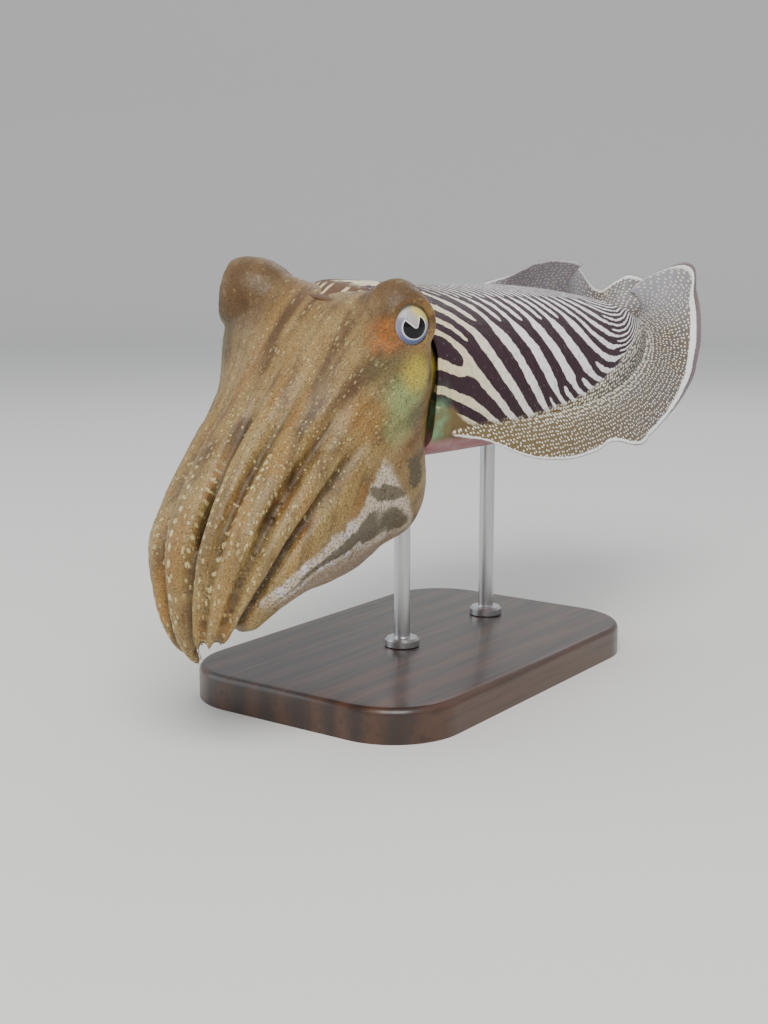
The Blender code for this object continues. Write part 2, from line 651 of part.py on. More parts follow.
def main():
    clear_scene()
    mantle_skin = material("mantle_skin", (0.13, 0.085, 0.10), 0.45)
    head_skin = material("head_skin", (0.36, 0.25, 0.13), 0.45)
    fin_skin = material("fin_skin", (0.30, 0.22, 0.14), 0.45)
    eye_look = material("eye", (0.62, 0.64, 0.66), 0.15)
    wood = material("stand_wood", (0.05, 0.035, 0.028), 0.4)
    steel = material("stand_steel", (0.55, 0.55, 0.56), 0.3, 1.0)

    cutter = helper(loft("mantle_cutter", mantle_rings(GAP), None))
    funnel_cutter = helper(funnel_tube("funnel_cutter", GAP, None)[0])
    neck_cutter = helper(head_shape("neck_cutter", None, GAP))
    mounds, sockets, room = [], [], [neck_cutter, funnel_cutter]
    for name, hand in (("eye_right", 1), ("eye_left", -1)):
        ball(name, eye_place(hand)[0], EYE_RADIUS, eye_look)
        sockets.append(socket(f"{name}_socket", hand))
        mounds.append(lids(f"{name}_lids", hand))
        room.append(lids(f"{name}_lids_cutter", hand, GAP / MM))
    make_mantle(mantle_skin, room)
    make_head(head_skin, mounds, [*sockets, funnel_cutter])
    make_funnel(head_skin)
    for index in range(len(ARM_NAMES)):
        make_arm(index, head_skin)
    for name, (hand, keys) in FIN_KEYS.items():
        make_fin(name, hand, keys, fin_skin, cutter)
    make_stand(wood, steel, cutter)


main()
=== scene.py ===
import math

import bmesh
import bpy
import numpy as np
from mathutils import Matrix, Vector, noise
from mathutils.bvhtree import BVHTree
from mathutils.interpolate import poly_3d_calc


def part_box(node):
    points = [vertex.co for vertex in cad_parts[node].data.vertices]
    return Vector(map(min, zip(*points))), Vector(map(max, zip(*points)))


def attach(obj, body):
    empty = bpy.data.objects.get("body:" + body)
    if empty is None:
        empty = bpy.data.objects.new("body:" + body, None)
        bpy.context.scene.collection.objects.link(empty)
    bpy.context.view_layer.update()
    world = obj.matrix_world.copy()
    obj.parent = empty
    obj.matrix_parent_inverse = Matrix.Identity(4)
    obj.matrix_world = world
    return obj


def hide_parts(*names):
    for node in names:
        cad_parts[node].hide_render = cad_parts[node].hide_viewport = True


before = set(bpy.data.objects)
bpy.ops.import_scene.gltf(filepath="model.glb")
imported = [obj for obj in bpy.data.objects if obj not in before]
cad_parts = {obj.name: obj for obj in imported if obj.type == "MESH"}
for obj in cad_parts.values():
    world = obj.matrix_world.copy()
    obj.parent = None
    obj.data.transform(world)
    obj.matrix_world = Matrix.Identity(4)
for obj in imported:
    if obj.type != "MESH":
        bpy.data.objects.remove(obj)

# The looks of a common cuttlefish model, life size, on its display stand.
# Head towards -X, the animal's left side towards -Y. Lengths in metres unless a name ends in Mm.

mm = 0.001
deg = math.pi / 180
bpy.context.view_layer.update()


# Curves and falloffs

def smoothBetween(keys, values, at):
    keys = np.asarray(keys, float)
    values = np.asarray(values, float).reshape(len(keys), -1)
    slopes = np.gradient(values, keys, axis=0)
    at = np.clip(np.asarray(at, float), keys[0], keys[-1])
    i = np.clip(np.searchsorted(keys, at, side="right") - 1, 0, len(keys) - 2)
    span = keys[i + 1] - keys[i]
    s = ((at - keys[i]) / span)[..., None]
    span = span[..., None]
    return ((2 * s**3 - 3 * s**2 + 1) * values[i] + (s**3 - 2 * s**2 + s) * span * slopes[i]
            + (3 * s**2 - 2 * s**3) * values[i + 1] + (s**3 - s**2) * span * slopes[i + 1])


def between(rows, at):
    # rows as stations 0, 1, 2 and on
    return smoothBetween(range(len(rows)), rows, at)


def clamped(s):
    return np.clip(s, 0, 1)


def bowed(x, power):
    return np.sign(x) * np.abs(x) ** power


def runAlong(path):
    return np.concatenate([[0], np.cumsum(np.linalg.norm(np.diff(path, axis=0), axis=1))])


def unit(v):
    return v / np.linalg.norm(v, axis=-1)[..., None]


def rolled(x, y, z, roll):
    # turned about the animal's long axis
    return np.stack([x, y * np.cos(roll) - z * np.sin(roll), y * np.sin(roll) + z * np.cos(roll)], axis=-1)


def bell(distance, width):
    return np.exp(-(distance / width) ** 2)


def ease(s):
    s = clamped(s)
    return s * s * (3 - 2 * s)


def turnBetween(angle, centre):
    return (angle - centre + math.pi) % (2 * math.pi) - math.pi


def tone(red, green, blue):
    # a colour as seen on a screen, 0 to 255, made linear
    return tuple((c / 12.92 if c <= 0.04045 else ((c + 0.055) / 1.055) ** 2.4)
                 for c in (red / 255, green / 255, blue / 255)) + (1,)


# Body shape: the same surfaces as the solids, drawn finer

mantleForm = {
    "length": 202 * mm, "halfWidth": 43 * mm, "rimHalfWidth": 40 * mm, "dome": 41 * mm,
    "shoulder": 5 * mm, "belly": 15 * mm, "widest": 0.30, "flankLine": -17 * mm,
    "flankRise": 24 * mm, "tailBend": -8 * mm, "roll": 10 * deg,
    "lobeReach": 18.4 * mm, "lobeHalfAngle": 48 * deg, "lobeDrop": 2.5 * mm, "lobeCurl": 4.6 * mm,
    "curlLength": 4 * mm,
    "eyeRecess": 5 * mm, "eyeRecessAngle": 52 * deg, "eyeRecessWidth": 17 * deg,
    "bellyNotch": 9 * mm, "bellyNotchHalfAngle": 75 * deg, "rimBlend": 0.22,
    "lipRadius": 0.9 * mm, "lipShare": 0.10, "mouthDepth": 16 * mm, "grid": (300, 260),
}


def mantleProfile(u, power):
    behind = clamped((u - mantleForm["widest"]) / (1 - mantleForm["widest"]))
    return (1 - behind**2.2) ** power


def mantlePoint(u, angle):
    form = mantleForm
    u, angle = np.broadcast_arrays(np.asarray(u, float), np.asarray(angle, float))
    before = clamped((form["widest"] - u) / form["widest"]) ** 2
    side = form["halfWidth"] - (form["halfWidth"] - form["rimHalfWidth"]) * before
    side = side * mantleProfile(u, 0.62)
    dome = (form["dome"] + form["shoulder"] * before) * mantleProfile(u, 0.75)
    belly = form["belly"] * mantleProfile(u, 0.62)
    sine, cosine = np.sin(angle), np.cos(angle)
    y = side * bowed(sine, 0.9)
    z = np.where(cosine > 0, dome, belly) * bowed(cosine, 0.95)
    dorsal = ease(1 - np.abs(turnBetween(angle, 0)) / form["lobeHalfAngle"])
    ventral = ease(1 - np.abs(turnBetween(angle, math.pi)) / form["bellyNotchHalfAngle"])
    beside = np.abs(np.abs(turnBetween(angle, 0)) - form["eyeRecessAngle"])
    rim = form["bellyNotch"] * ventral - form["lobeReach"] * dorsal
    rim = rim + form["eyeRecess"] * bell(beside, form["eyeRecessWidth"])
    fade = clamped(1 - u / form["rimBlend"]) ** 2
    x = u * form["length"] + rim * fade
    z = z - form["lobeDrop"] * dorsal * fade * fade + form["flankLine"] + form["flankRise"] * u**3.5
    z = z - form["lobeCurl"] * np.minimum(dorsal * 2, 1) * bell(u * form["length"], form["curlLength"])
    return rolled(x, y + form["tailBend"] * u**2, z, form["roll"])


headForm = {
    # x, z, pitch, side, back, belly: the core's place and the skin's reach from it
    "stations": np.array([
        [17, -1, 0, 29, 21, 19],
        [5, -2, 8, 33, 25.5, 24],
        [-4, -8, 22, 35, 32, 32],
        [-13, -18, 38, 36, 32.5, 41],
        [-22, -28, 44, 35.5, 31, 46],
        [-30, -36, 46, 34.5, 30.5, 45],
        [-39, -44, 44, 33, 29.5, 39],
        [-48, -51, 42, 31, 27, 30.5],
        [-56, -57.5, 44, 28.5, 23.5, 23],
        [-62.5, -63.5, 48, 26, 19.5, 17.5],
        [-68, -70, 56, 22, 15, 13.5],
        [-72, -77, 68, 18, 11, 10.5],
        [-73.5, -84, 84, 13.5, 8.5, 8.5],
        [-71, -90.5, 108, 9, 6.5, 6.5],
    ]),
    "roll": 7 * deg, "rollEnds": (3, 7.5),
    # station, angle, swell, half-length behind and ahead, half-angle
    "bulges": ((1.85, 41 * deg, 0.38, 0.5, 0.92, 22 * deg),
               (2.4, 65 * deg, 0.19, 0.8, 0.9, 22 * deg),
               (3.3, 131 * deg, 0.19, 1.5, 1.5, 28 * deg)),
    "shoulderAngle": 38 * deg, "shoulderWidth": 32 * deg,
    "shoulderSwell": ((4.5, 0), (6, 0.05), (8, 0.16), (9.5, 0.26), (11, 0.2), (13, 0.05)),
    "ventralNotch": 0.38, "ventralNotchWidth": 26 * deg,
    "grooveDepth": 0.075, "grooveWidth": 0.10,
}
armForm = {
    "names": ("right_1", "right_2", "right_3", "right_4", "left_4", "left_3", "left_2", "left_1"),
    "edges": np.radians([0, 30, 56, 80, 180, 294, 315, 340, 360]),
    "ends": (13, 12.7, 12, 11.6, 11.3, 12, 12.2, 12.3),
    "start": 5, "rootStart": 3.9, "core": 0.42, "gap": 0.12 * mm,
    # the slit between the dorsal arms: station, half-length, half-angle
    "slit": (8.4, 0.75, 2.6 * deg),
    # power of the section's corners at the root, and what it gains to the tip
    "square": (0.34, 0.26),
}


def crownPoint(t, angle, depth=1):
    form = headForm
    t, angle, depth = np.broadcast_arrays(*(np.asarray(v, float) for v in (t, angle, depth)))
    row = between(form["stations"], t)
    pitch = np.radians(row[..., 2])
    side, back, belly = (row[..., i] * mm for i in (3, 4, 5))
    sine, cosine = np.sin(angle), np.cos(angle)
    swell = 1 + 0 * t
    shoulder = smoothBetween(*zip(*form["shoulderSwell"]), t)[..., 0]
    for hand in (1, -1):
        for station, where, amount, behind, ahead, width in form["bulges"]:
            hump = amount * bell(t - station, np.where(t < station, behind, ahead))
            swell = swell + hump * bell(turnBetween(angle, hand * where), width)
        swell = swell + shoulder * bell(turnBetween(angle, hand * form["shoulderAngle"]),
                                        form["shoulderWidth"])
    below = turnBetween(angle, math.pi)
    swell = swell - form["ventralNotch"] * bell(t - 2.9, 2) * bell(below, form["ventralNotchWidth"])
    furrows = sum(bell(turnBetween(angle, edge), form["grooveWidth"]) for edge in armForm["edges"][:-1])
    swell = swell * (1 - form["grooveDepth"] * clamped((t - 3) / 2) ** 1.5 * furrows)
    across = sine * side * swell * depth
    up = cosine * np.where(cosine > 0, back, belly) * swell * depth
    x = row[..., 0] * mm - np.sin(pitch) * up
    z = row[..., 1] * mm + np.cos(pitch) * up
    first, last = form["rollEnds"]
    return rolled(x, across, z, form["roll"] * ease((last - t) / (last - first)))


eyeForm = {
    "centre": (-14 * mm, 30.2 * mm, 16.7 * mm), "look": (-0.42, 0.88, 0.14), "radius": 9 * mm,
    # outlines turned round the line of sight: mm ahead of the eye's middle, radius
    "lidProfileMm": ((-12, 6.5), (-6, 9.8), (0, 10.8), (4.4, 10.2), (6.4, 9.2), (7.5, 8), (7, 6), (2, 4)),
    "farLidProfileMm": ((-16, 6.5), (-9, 11.5), (-3, 13.8), (2, 14), (6, 13.3), (8.8, 12.3), (11.4, 10.4),
                        (10.6, 8.4), (2, 4)),
    "brow": 0.7, "browRiseMm": 4.4, "browLean": 18 * deg, "browEndMm": 7.5,
    "socketMm": 9.35, "socketTurns": np.radians(np.linspace(178, 43.5, 24)),
    "openingMm": [(8.1, 6.45), (20, 12)], "lidGrid": (40, 48),
}


def eyePlace(hand):
    # an eye's middle, its line of sight and its upward line
    centre, look = (rolled(x, y * hand, z, headForm["roll"])
                    for x, y, z in (eyeForm["centre"], eyeForm["look"]))
    look = unit(look)
    return centre, look, unit(np.array([0, 0, 1]) - look * look[2])


# The animal's own frame has its origin in the middle of the mantle's rim. The eye nodes say where.
eyeMiddle = sum((sum(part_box(f"eye_{side}"), Vector()) / 2 for side in ("left", "right")), Vector()) / 2
ownMiddle = (eyePlace(1)[0] + eyePlace(-1)[0]) / 2
rimPlace = np.array(eyeMiddle) - ownMiddle
print("mantle rim at", np.round(rimPlace, 4))


# Mesh making

def gridPiece(along, around, place, into=None):
    # A grid whose points are moved by place(s, q), which also gives named values for each point
    bm = bmesh.new() if into is None else into
    made = bmesh.ops.create_grid(bm, x_segments=along, y_segments=around, size=0.5)["verts"]
    s = np.array([v.co.x for v in made]) + 0.5
    q = np.array([v.co.y for v in made]) + 0.5
    points, marks = place(s, q)
    kept = bm.verts.layers.float
    layers = [(kept.get(key) or kept.new(key), np.broadcast_to(value, s.shape))
              for key, value in marks.items()]
    made = list(bm.verts) if into is None else made
    for i, v in enumerate(made):
        v.co = points[i] + rimPlace
        for layer, value in layers:
            v[layer] = float(value[i])
    bmesh.ops.remove_doubles(bm, verts=made, dist=0.01 * mm)
    bmesh.ops.recalc_face_normals(bm, faces=bm.faces)
    return bm


def lathed(outline, steps, join=0.01 * mm):
    # an outline of radius and height turned round the vertical axis
    bm = bmesh.new()
    chain = [bm.verts.new((r, 0, z)) for r, z in outline]
    edges = [bm.edges.new(pair) for pair in zip(chain[:-1], chain[1:])]
    bmesh.ops.spin(bm, geom=chain + edges, cent=(0, 0, 0), axis=(0, 0, 1), dvec=(0, 0, 0),
                   angle=2 * math.pi, steps=steps, use_merge=True)
    bmesh.ops.remove_doubles(bm, verts=bm.verts, dist=join)
    return bm


def linked(name, data):
    obj = bpy.data.objects.new(name, data)
    bpy.context.scene.collection.objects.link(obj)
    return obj


def asObject(name, bm):
    mesh = bpy.data.meshes.new(name)
    bm.to_mesh(mesh)
    bm.free()
    return linked(name, mesh)


def finished(name, bm, material, replaced=()):
    piece = asObject(name, bm)
    mesh = piece.data
    mesh.materials.append(material)
    mesh.shade_smooth()
    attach(piece, "root")
    if replaced:
        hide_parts(*replaced)
    print(name, len(mesh.polygons), "faces")
    return piece


# Shader writing

def sums(operation, swapped=False):
    return lambda wire, other: wire.look.only(operation, *((other, wire) if swapped else (wire, other)))


class Wire:
    # a socket that can stand in a sum
    def __init__(self, look, socket):
        self.look, self.socket = look, socket

    __add__ = __radd__ = sums("ADD")
    __sub__, __rsub__ = sums("SUBTRACT"), sums("SUBTRACT", True)
    __mul__ = __rmul__ = sums("MULTIPLY")
    __truediv__ = sums("DIVIDE")


class Look:
    # a material under construction, with named tones, 0 to 255, and the colour painted so far
    def __init__(self, name, fixed, tones=None):
        self.tones, self.colour = tones, None
        self.material = bpy.data.materials.new(name)
        self.material.use_nodes = True
        self.tree = self.material.node_tree
        self.shader = self.tree.nodes["Principled BSDF"]
        for key, value in fixed.items():
            self.shader.inputs[key].default_value = value
        self.spot = self.node("ShaderNodeTexCoord", out="Object")

    def node(self, kind, settings=None, inputs=None, out=0):
        made = self.tree.nodes.new(kind)
        for key, value in (settings or {}).items():
            setattr(made, key, value)
        for key, value in (inputs or {}).items():
            if isinstance(value, Wire):
                self.tree.links.new(value.socket, made.inputs[key])
            else:
                made.inputs[key].default_value = value
        return Wire(self, made.outputs[out])

    def feed(self, socketName, wire):
        self.tree.links.new(wire.socket, self.shader.inputs[socketName])

    def marks(self, *names):
        return [self.node("ShaderNodeAttribute", {"attribute_name": name}, out="Fac") for name in names]

    def vector(self, x, y, z=0):
        return self.node("ShaderNodeCombineXYZ", inputs={"X": x, "Y": y, "Z": z})

    def grain(self, scale, detail=2, at=None):
        return self.node("ShaderNodeTexNoise", inputs={"Vector": at or self.spot, "Scale": scale,
                                                       "Detail": detail}, out="Fac")

    def cells(self, scale, randomness=1, at=None):
        # rounded cells: flat ones where a place on the surface is given, else in space
        return self.node("ShaderNodeTexVoronoi", {"voronoi_dimensions": "2D" if at else "3D"}, {
            "Vector": at or self.spot, "Scale": scale, "Randomness": randomness}, out="Distance")

    def rise(self, value, low, high):
        # 0 below low, 1 above high, smooth between
        return self.node("ShaderNodeMapRange", {"interpolation_type": "SMOOTHSTEP"},
                         {"Value": value, "From Min": low, "From Max": high})

    def fall(self, value, low, high):
        return 1 - self.rise(value, low, high)

    def only(self, operation, first, second=0, third=0):
        return self.node("ShaderNodeMath", {"operation": operation}, {0: first, 1: second, 2: third})

    def most(self, first, second):
        return self.only("MAXIMUM", first, second)

    def stretched(self, x, y, z):
        return self.node("ShaderNodeMapping", inputs={"Vector": self.spot, "Scale": (x, y, z)})

    def blend(self, factor, first, second):
        first, second = (tone(*self.tones[c]) if isinstance(c, str) else c for c in (first, second))
        return self.node("ShaderNodeMix", {"data_type": "RGBA"}, {0: factor, 6: first, 7: second}, out=2)

    def paint(self, share, over):
        # one more colour over those before it
        self.colour = self.blend(share, self.colour, over)

    def distance(self, point):
        return self.node("ShaderNodeVectorMath", {"operation": "DISTANCE"},
                         {0: self.spot, 1: tuple(point)}, out="Value")

    def done(self, roughness, height, distance, strength=1):
        # the material, with its colour, roughness and relief fed in
        if self.colour:
            self.feed("Base Color", self.colour)
        self.feed("Roughness", roughness)
        self.feed("Normal", self.node("ShaderNodeBump", inputs={
            "Height": height, "Distance": distance, "Strength": strength}))
        return self.material


skinBase = {"Specular IOR Level": 0.35, "Subsurface Weight": 0.08,
            "Subsurface Radius": (0.004, 0.0018, 0.001), "Subsurface Scale": 1}

zebraLook = {
    "dark": (48, 30, 43), "darkBrown": (64, 45, 48), "white": (247, 241, 243),
    "cream": (226, 212, 172), "belly": (166, 114, 118), "bellyPale": (182, 148, 148),
    "olive": (120, 98, 62), "fleck": (190, 176, 172), "sheen": (120, 168, 128),
    # stripe number = poly(x) + poly(x) ln(lift + 0.08), x in tenths of a metre behind the rim
    "alongTerms": (2.86, -3.29, 12.90, -4.98), "liftTerms": (2.54, -4.50, 3.23),
    # one stripe forks near the rim: along mm, lift
    "fork": (14, 0.33), "whiteShare": 0.47, "lobe": (104, 80, 62),
}
dotLook = {
    "pitchMm": 2, "oliveFront": (112, 95, 62), "greyBrown": (98, 90, 86),
    "dot": (234, 230, 214), "line": (244, 244, 242), "margin": (84, 58, 72),
    # the fins where they stand up get a paler, bluer colour: painted light, as if shining through them
    "under": (190, 170, 168), "raisedLit": (176, 176, 188),
}


def dots(look, along, out, size):
    # white dots set like scales, in mm across the surface
    at = look.vector(along / dotLook["pitchMm"], out / (dotLook["pitchMm"] * 0.78))
    gap = look.cells(1, 0.5, at)
    return look.fall(gap, size - 0.05, size + 0.06)


def mantleSkinLook():
    # zebra stripes on the back, dots towards the fins, pale pink below
    look = Look("mantleSkinLook", {**skinBase, "Specular IOR Level": 0.15}, {**zebraLook, **dotLook})
    rise, fall, blend, grain = look.rise, look.fall, look.blend, look.grain
    paint, most, only = look.paint, look.most, look.only
    along, lift, out, flank = look.marks("alongMm", "liftShare", "outMm", "flankMm")
    x = along / 100
    depth = only("LOGARITHM", most(lift, -0.06) + 0.08, math.e)
    a0, a1, a2, a3 = zebraLook["alongTerms"]
    d0, d1, d2 = zebraLook["liftTerms"]
    phase = a0 + x * (a1 + x * (a2 + x * a3)) + (d0 + x * (d1 + x * d2)) * depth
    forkAlong, forkLift = zebraLook["fork"]
    phase = phase - only("ARCTAN2", (lift - forkLift) * 60, along - forkAlong) / (2 * math.pi)
    fine = grain(420)
    phase = phase + (grain(50, 1) - 0.5) * 0.32 + (fine - 0.5) * 0.13
    edgeLine = 0.02 + only("POWER", along / 187, 3.3) * 0.56 + fall(along, 3, 22) * 0.10
    above = lift - edgeLine
    # stripes split in two towards the back, the tail and their lower ends, and again further on
    split = most(rise(lift, 0.52, 0.66), rise(along, 98, 116))
    split = most(split, fall(above, 0.06, 0.15) * rise(along, 55, 80))
    split = most(split, rise(lift, 0.40, 0.48) * fall(along, 18, 32))
    twice = most(rise(lift, 0.76, 0.86) * rise(along, 12, 40), rise(along, 126, 142))
    turn = phase * (2 * math.pi)
    wave = only("COSINE", turn) * (1 - split) + only("COSINE", turn * 2) * split * (1 - twice)
    wave = wave + only("COSINE", turn * 4) * twice * split
    threshold = math.cos(math.pi * zebraLook["whiteShare"]) + (grain(170) - 0.5) * 0.45 + twice * 0.26
    threshold = threshold + fall(along, 25, 85) * 0.24
    white = rise(wave - threshold, -0.10, 0.12)
    zebra = rise(above + (grain(260) - 0.5) * 0.06, -0.015, 0.02)
    fleck = fall(look.cells(520), 0.14, 0.30) * rise(grain(300), 0.47, 0.62)
    dark = blend(grain(240, 3), "dark", "darkBrown")
    dark = blend(fleck * (0.15 + 0.75 * rise(lift, 0.55, 0.95)), dark, "fleck")
    pale = blend(rise(along, 0, 70), "cream", "white")
    pale = blend(rise(grain(500), 0.45, 0.80) * 0.35, pale, "olive")
    striped = blend(white, dark, pale)
    field = blend(grain(180, 3), "oliveFront", "olive")
    field = blend(rise(along, 60, 150), field, "greyBrown")
    # the dots are bigger next to the stripes
    size = 0.24 + 0.11 * rise(above, -0.20, -0.05)
    spotted = blend(dots(look, flank, out, size) * rise(along, 14, 34), field, "dot")
    look.colour = blend(zebra, spotted, striped)
    # the lobe over the head is brown with short cream bars
    lobe = rise(lift, 0.50, 0.62) * fall(along + (fine - 0.5) * 4, 5, 9)
    bars = rise(only("COSINE", lift * 115 + grain(150) * 5), 0.30, 0.65)
    bars = bars * rise(along, 0.8, 1.6) * fall(along, 4, 5.5)
    paint(lobe, blend(bars * 0.85, "lobe", "cream"))
    belly = blend(rise(grain(120, 3), 0.35, 0.7), "belly", "bellyPale")
    look.colour = blend(rise(lift, -0.16, -0.03), belly, look.colour)
    sheen = fall(along, 1, 9) * rise(lift, -0.22, 0.02) * fall(lift, 0.06, 0.28)
    paint(sheen * (0.1 + 0.6 * rise(grain(240), 0.3, 0.7)), "sheen")
    relief = fine * 0.6 + grain(1400, 3) * 0.25 + white * 0.15
    return look.done(0.50 + (fine - 0.5) * 0.25, relief, 0.0005, 0.8)


def finSkinLook():
    # dots in rows, the white line near the edge and a see-through margin
    look = Look("finSkinLook", {**skinBase, "Coat Weight": 0.06, "Coat Roughness": 0.3}, dotLook)
    rise, fall, blend, grain = look.rise, look.fall, look.blend, look.grain
    along, out, edge, share, top, raisedLit, marginMm, lineMm = look.marks(
        "alongMm", "outMm", "edgeMm", "finShare", "topSide", "raisedLit", "marginMm", "lineMm")
    field = blend(rise(share, 0.10, 0.60), "oliveFront", "greyBrown")
    field = blend(rise(grain(160, 3), 0.35, 0.75) * 0.5, field, "oliveFront")
    # painted light: where the fin stands up it is painted paler and bluer, as if lit through
    field = blend(raisedLit * 0.8, field, "raisedLit")
    size = 0.22 + 0.10 * fall(out, 1.5, 6) * rise(share, 0.10, 0.25) - raisedLit * 0.02
    white = dots(look, along, out, size)
    look.colour = blend(white, field, "dot")
    ragged = (grain(700) - 0.5) * 1.5
    line = rise(edge + ragged * 0.3, marginMm - 0.15, marginMm + 0.15)
    line = line * fall(edge + ragged, marginMm + lineMm - 0.25, marginMm + lineMm + 0.25)
    margin = fall(edge, marginMm - 0.3, marginMm + 0.1)
    look.paint(margin, "margin")
    look.paint(line, "line")
    under = blend(grain(200) * 0.5, "under", field)
    under = blend(line * 0.6, under, "line")
    look.colour = blend(top, under, look.colour)
    look.feed("Alpha", 1 - margin * (0.30 + 0.25 * grain(300)))
    return look.done(0.42 + grain(500) * 0.12, grain(900, 3) * 0.4 + line * 0.5, 0.0004, 0.8)


# Mantle

def arcLengths(u, angle):
    # distance round the body from the flank line to each place
    steps = np.linspace(0, 1, 24)[:, None]
    reach = turnBetween(angle, 0)
    flank = np.sign(reach) * math.pi / 2
    path = mantlePoint(u[None, :], flank + (reach - flank) * steps)
    return np.linalg.norm(np.diff(path, axis=0), axis=2).sum(0)


def makeMantle():
    form = mantleForm

    def place(s, q):
        # the first share of s turns in over the lip and closes inside, the rest is the outside
        angle = (q - 0.5) * 2 * math.pi + math.pi
        lipShare, radius = form["lipShare"], form["lipRadius"]
        u = clamped((s - lipShare) / (1 - lipShare)) ** 1.04
        points = mantlePoint(u, angle)
        lip = clamped(s / lipShare)
        rim = mantlePoint(0 * u, angle)
        middle = rim.mean(0)
        turn = clamped((lip - 0.5) / 0.5) * math.pi / 2
        inward = middle - rim
        inward[:, 0] = 0
        inward = unit(inward)
        curl = rim + inward * (radius * (1 - np.sin(turn)))[:, None]
        curl[:, 0] -= radius * np.cos(turn)
        deep = clamped(1 - lip / 0.5)
        inner = curl + (middle - curl) * (deep**2)[:, None]
        inner[:, 0] = curl[:, 0] + deep * form["mouthDepth"]
        points = np.where((s < lipShare)[:, None], np.where((lip < 0.5)[:, None], inner, curl), points)
        reach = np.abs(turnBetween(angle, 0))
        liftShare = 1 - reach / (math.pi / 2)
        run = np.linspace(0, 1, 600)
        line = np.linalg.norm(np.diff(mantlePoint(run, math.pi / 2 + 0 * run), axis=0), axis=1)
        # the dots grow longer towards the tail
        flankMm = np.interp(u, run, np.append(0, np.cumsum(line / (1 + 1.3 * run[1:] ** 3)))) / mm
        return points, {"alongMm": u * form["length"] / mm, "liftShare": liftShare, "flankMm": flankMm,
                        "outMm": -np.sign(liftShare) * arcLengths(u, angle) / mm}

    bm = gridPiece(*form["grid"], place)
    return finished("mantleSkin", bm, mantleSkinLook(), ["mantle"])


# Fins

finForm = {
    "start": 0.04, "end": 0.985, "sunk": 2.2 * mm, "rootThick": 3.2 * mm, "edgeThick": 0.6 * mm,
    # shares over which the edge and both ends close, and the step that its slopes are measured with
    "edgeClose": 0.03, "endClose": 0.006, "step": 0.004, "grid": (420, 84), "rippleMm": 0.5,
    # share of its run, width mm, lift and sweep in degrees
    "left": (-1, ((0, 1.5, -24, 0), (0.05, 5, -34, 0), (0.12, 13.5, -40, 0), (0.21, 17.5, -44, 0),
                  (0.30, 18, -43, 0), (0.365, 17.3, -40, 0), (0.42, 23, -38, 0), (0.50, 22.5, -40, 0),
                  (0.58, 22, -36, 0), (0.66, 22.3, -30, 0), (0.78, 23.5, -16, 0), (0.85, 24, 2, 0),
                  (0.90, 26.5, 28, 0), (0.93, 30.5, 48, 0), (0.957, 36.7, 64, 0),
                  (0.979, 27, 84, 0), (1, 18, 118, 0))),
    "right": (1, ((0, 1.5, -24, 0), (0.05, 6, -32, 0), (0.15, 16, -38, 0), (0.31, 22, -22, 0),
                  (0.44, 25, -4, 0), (0.50, 27, 18, 0), (0.545, 28, 62, 0), (0.575, 31, 88, 0),
                  (0.60, 34.3, 96, 0), (0.64, 37.5, 99, 0), (0.68, 38.3, 101, 0), (0.72, 37.5, 105, 0),
                  (0.75, 37, 110, 0), (0.775, 35, 110, 8), (0.80, 30, 88, 30), (0.825, 26, 54, 42),
                  (0.85, 26.5, 40, 42), (0.87, 28.5, 38, 40), (0.90, 29.5, 46, 42),
                  (0.94, 28.5, 54, 46), (0.975, 29.4, 44, 53), (1, 29.3, 36, 58))),
    # share of its run, then the see-through margin and the white line inside it, mm
    "leftEdge": ((0, 0, 0.5), (0.3, 0.15, 1.1), (0.6, 0.5, 1.5), (0.78, 1.8, 2.4),
                 (0.93, 2.4, 3), (0.957, 1.4, 2), (0.975, 0.2, 0.3), (1, 0, 0)),
    "rightEdge": ((0, 0, 0.5), (0.4, 0.2, 0.9), (0.7, 0.3, 1.3), (0.96, 0.4, 1.5), (1, 0, 0.2)),
}


def finPoint(hand, keys, s, w):
    # a place on the fin's middle surface, s along its root and w out to its edge
    keys = np.array(keys, float)
    form = finForm
    width, lift, sweep = smoothBetween(keys[:, 0], keys[:, 1:], s).T
    width, lift, sweep = width * mm, np.radians(lift), np.radians(sweep)

    def root(at):
        u = form["start"] + (form["end"] - form["start"]) * (1 - (1 - clamped(at)) ** 1.5)
        return mantlePoint(u, hand * math.pi / 2)

    step = form["step"]
    ahead = unit(root(np.minimum(s + step, 1)) - root(np.maximum(s - step, 0)))
    up = np.array([0, -math.sin(mantleForm["roll"]), math.cos(mantleForm["roll"])])
    outward = unit(np.cross(ahead, up) * -hand)
    astern = np.cross(up, outward) * -hand
    outward = outward * np.cos(sweep)[:, None] + astern * np.sin(sweep)[:, None]
    tilt = lift * (0.55 + 0.45 * w)
    reach = np.cos(tilt)[:, None] * outward + np.sin(tilt)[:, None] * up
    return root(s) + reach * (width * w)[:, None], outward, width, lift


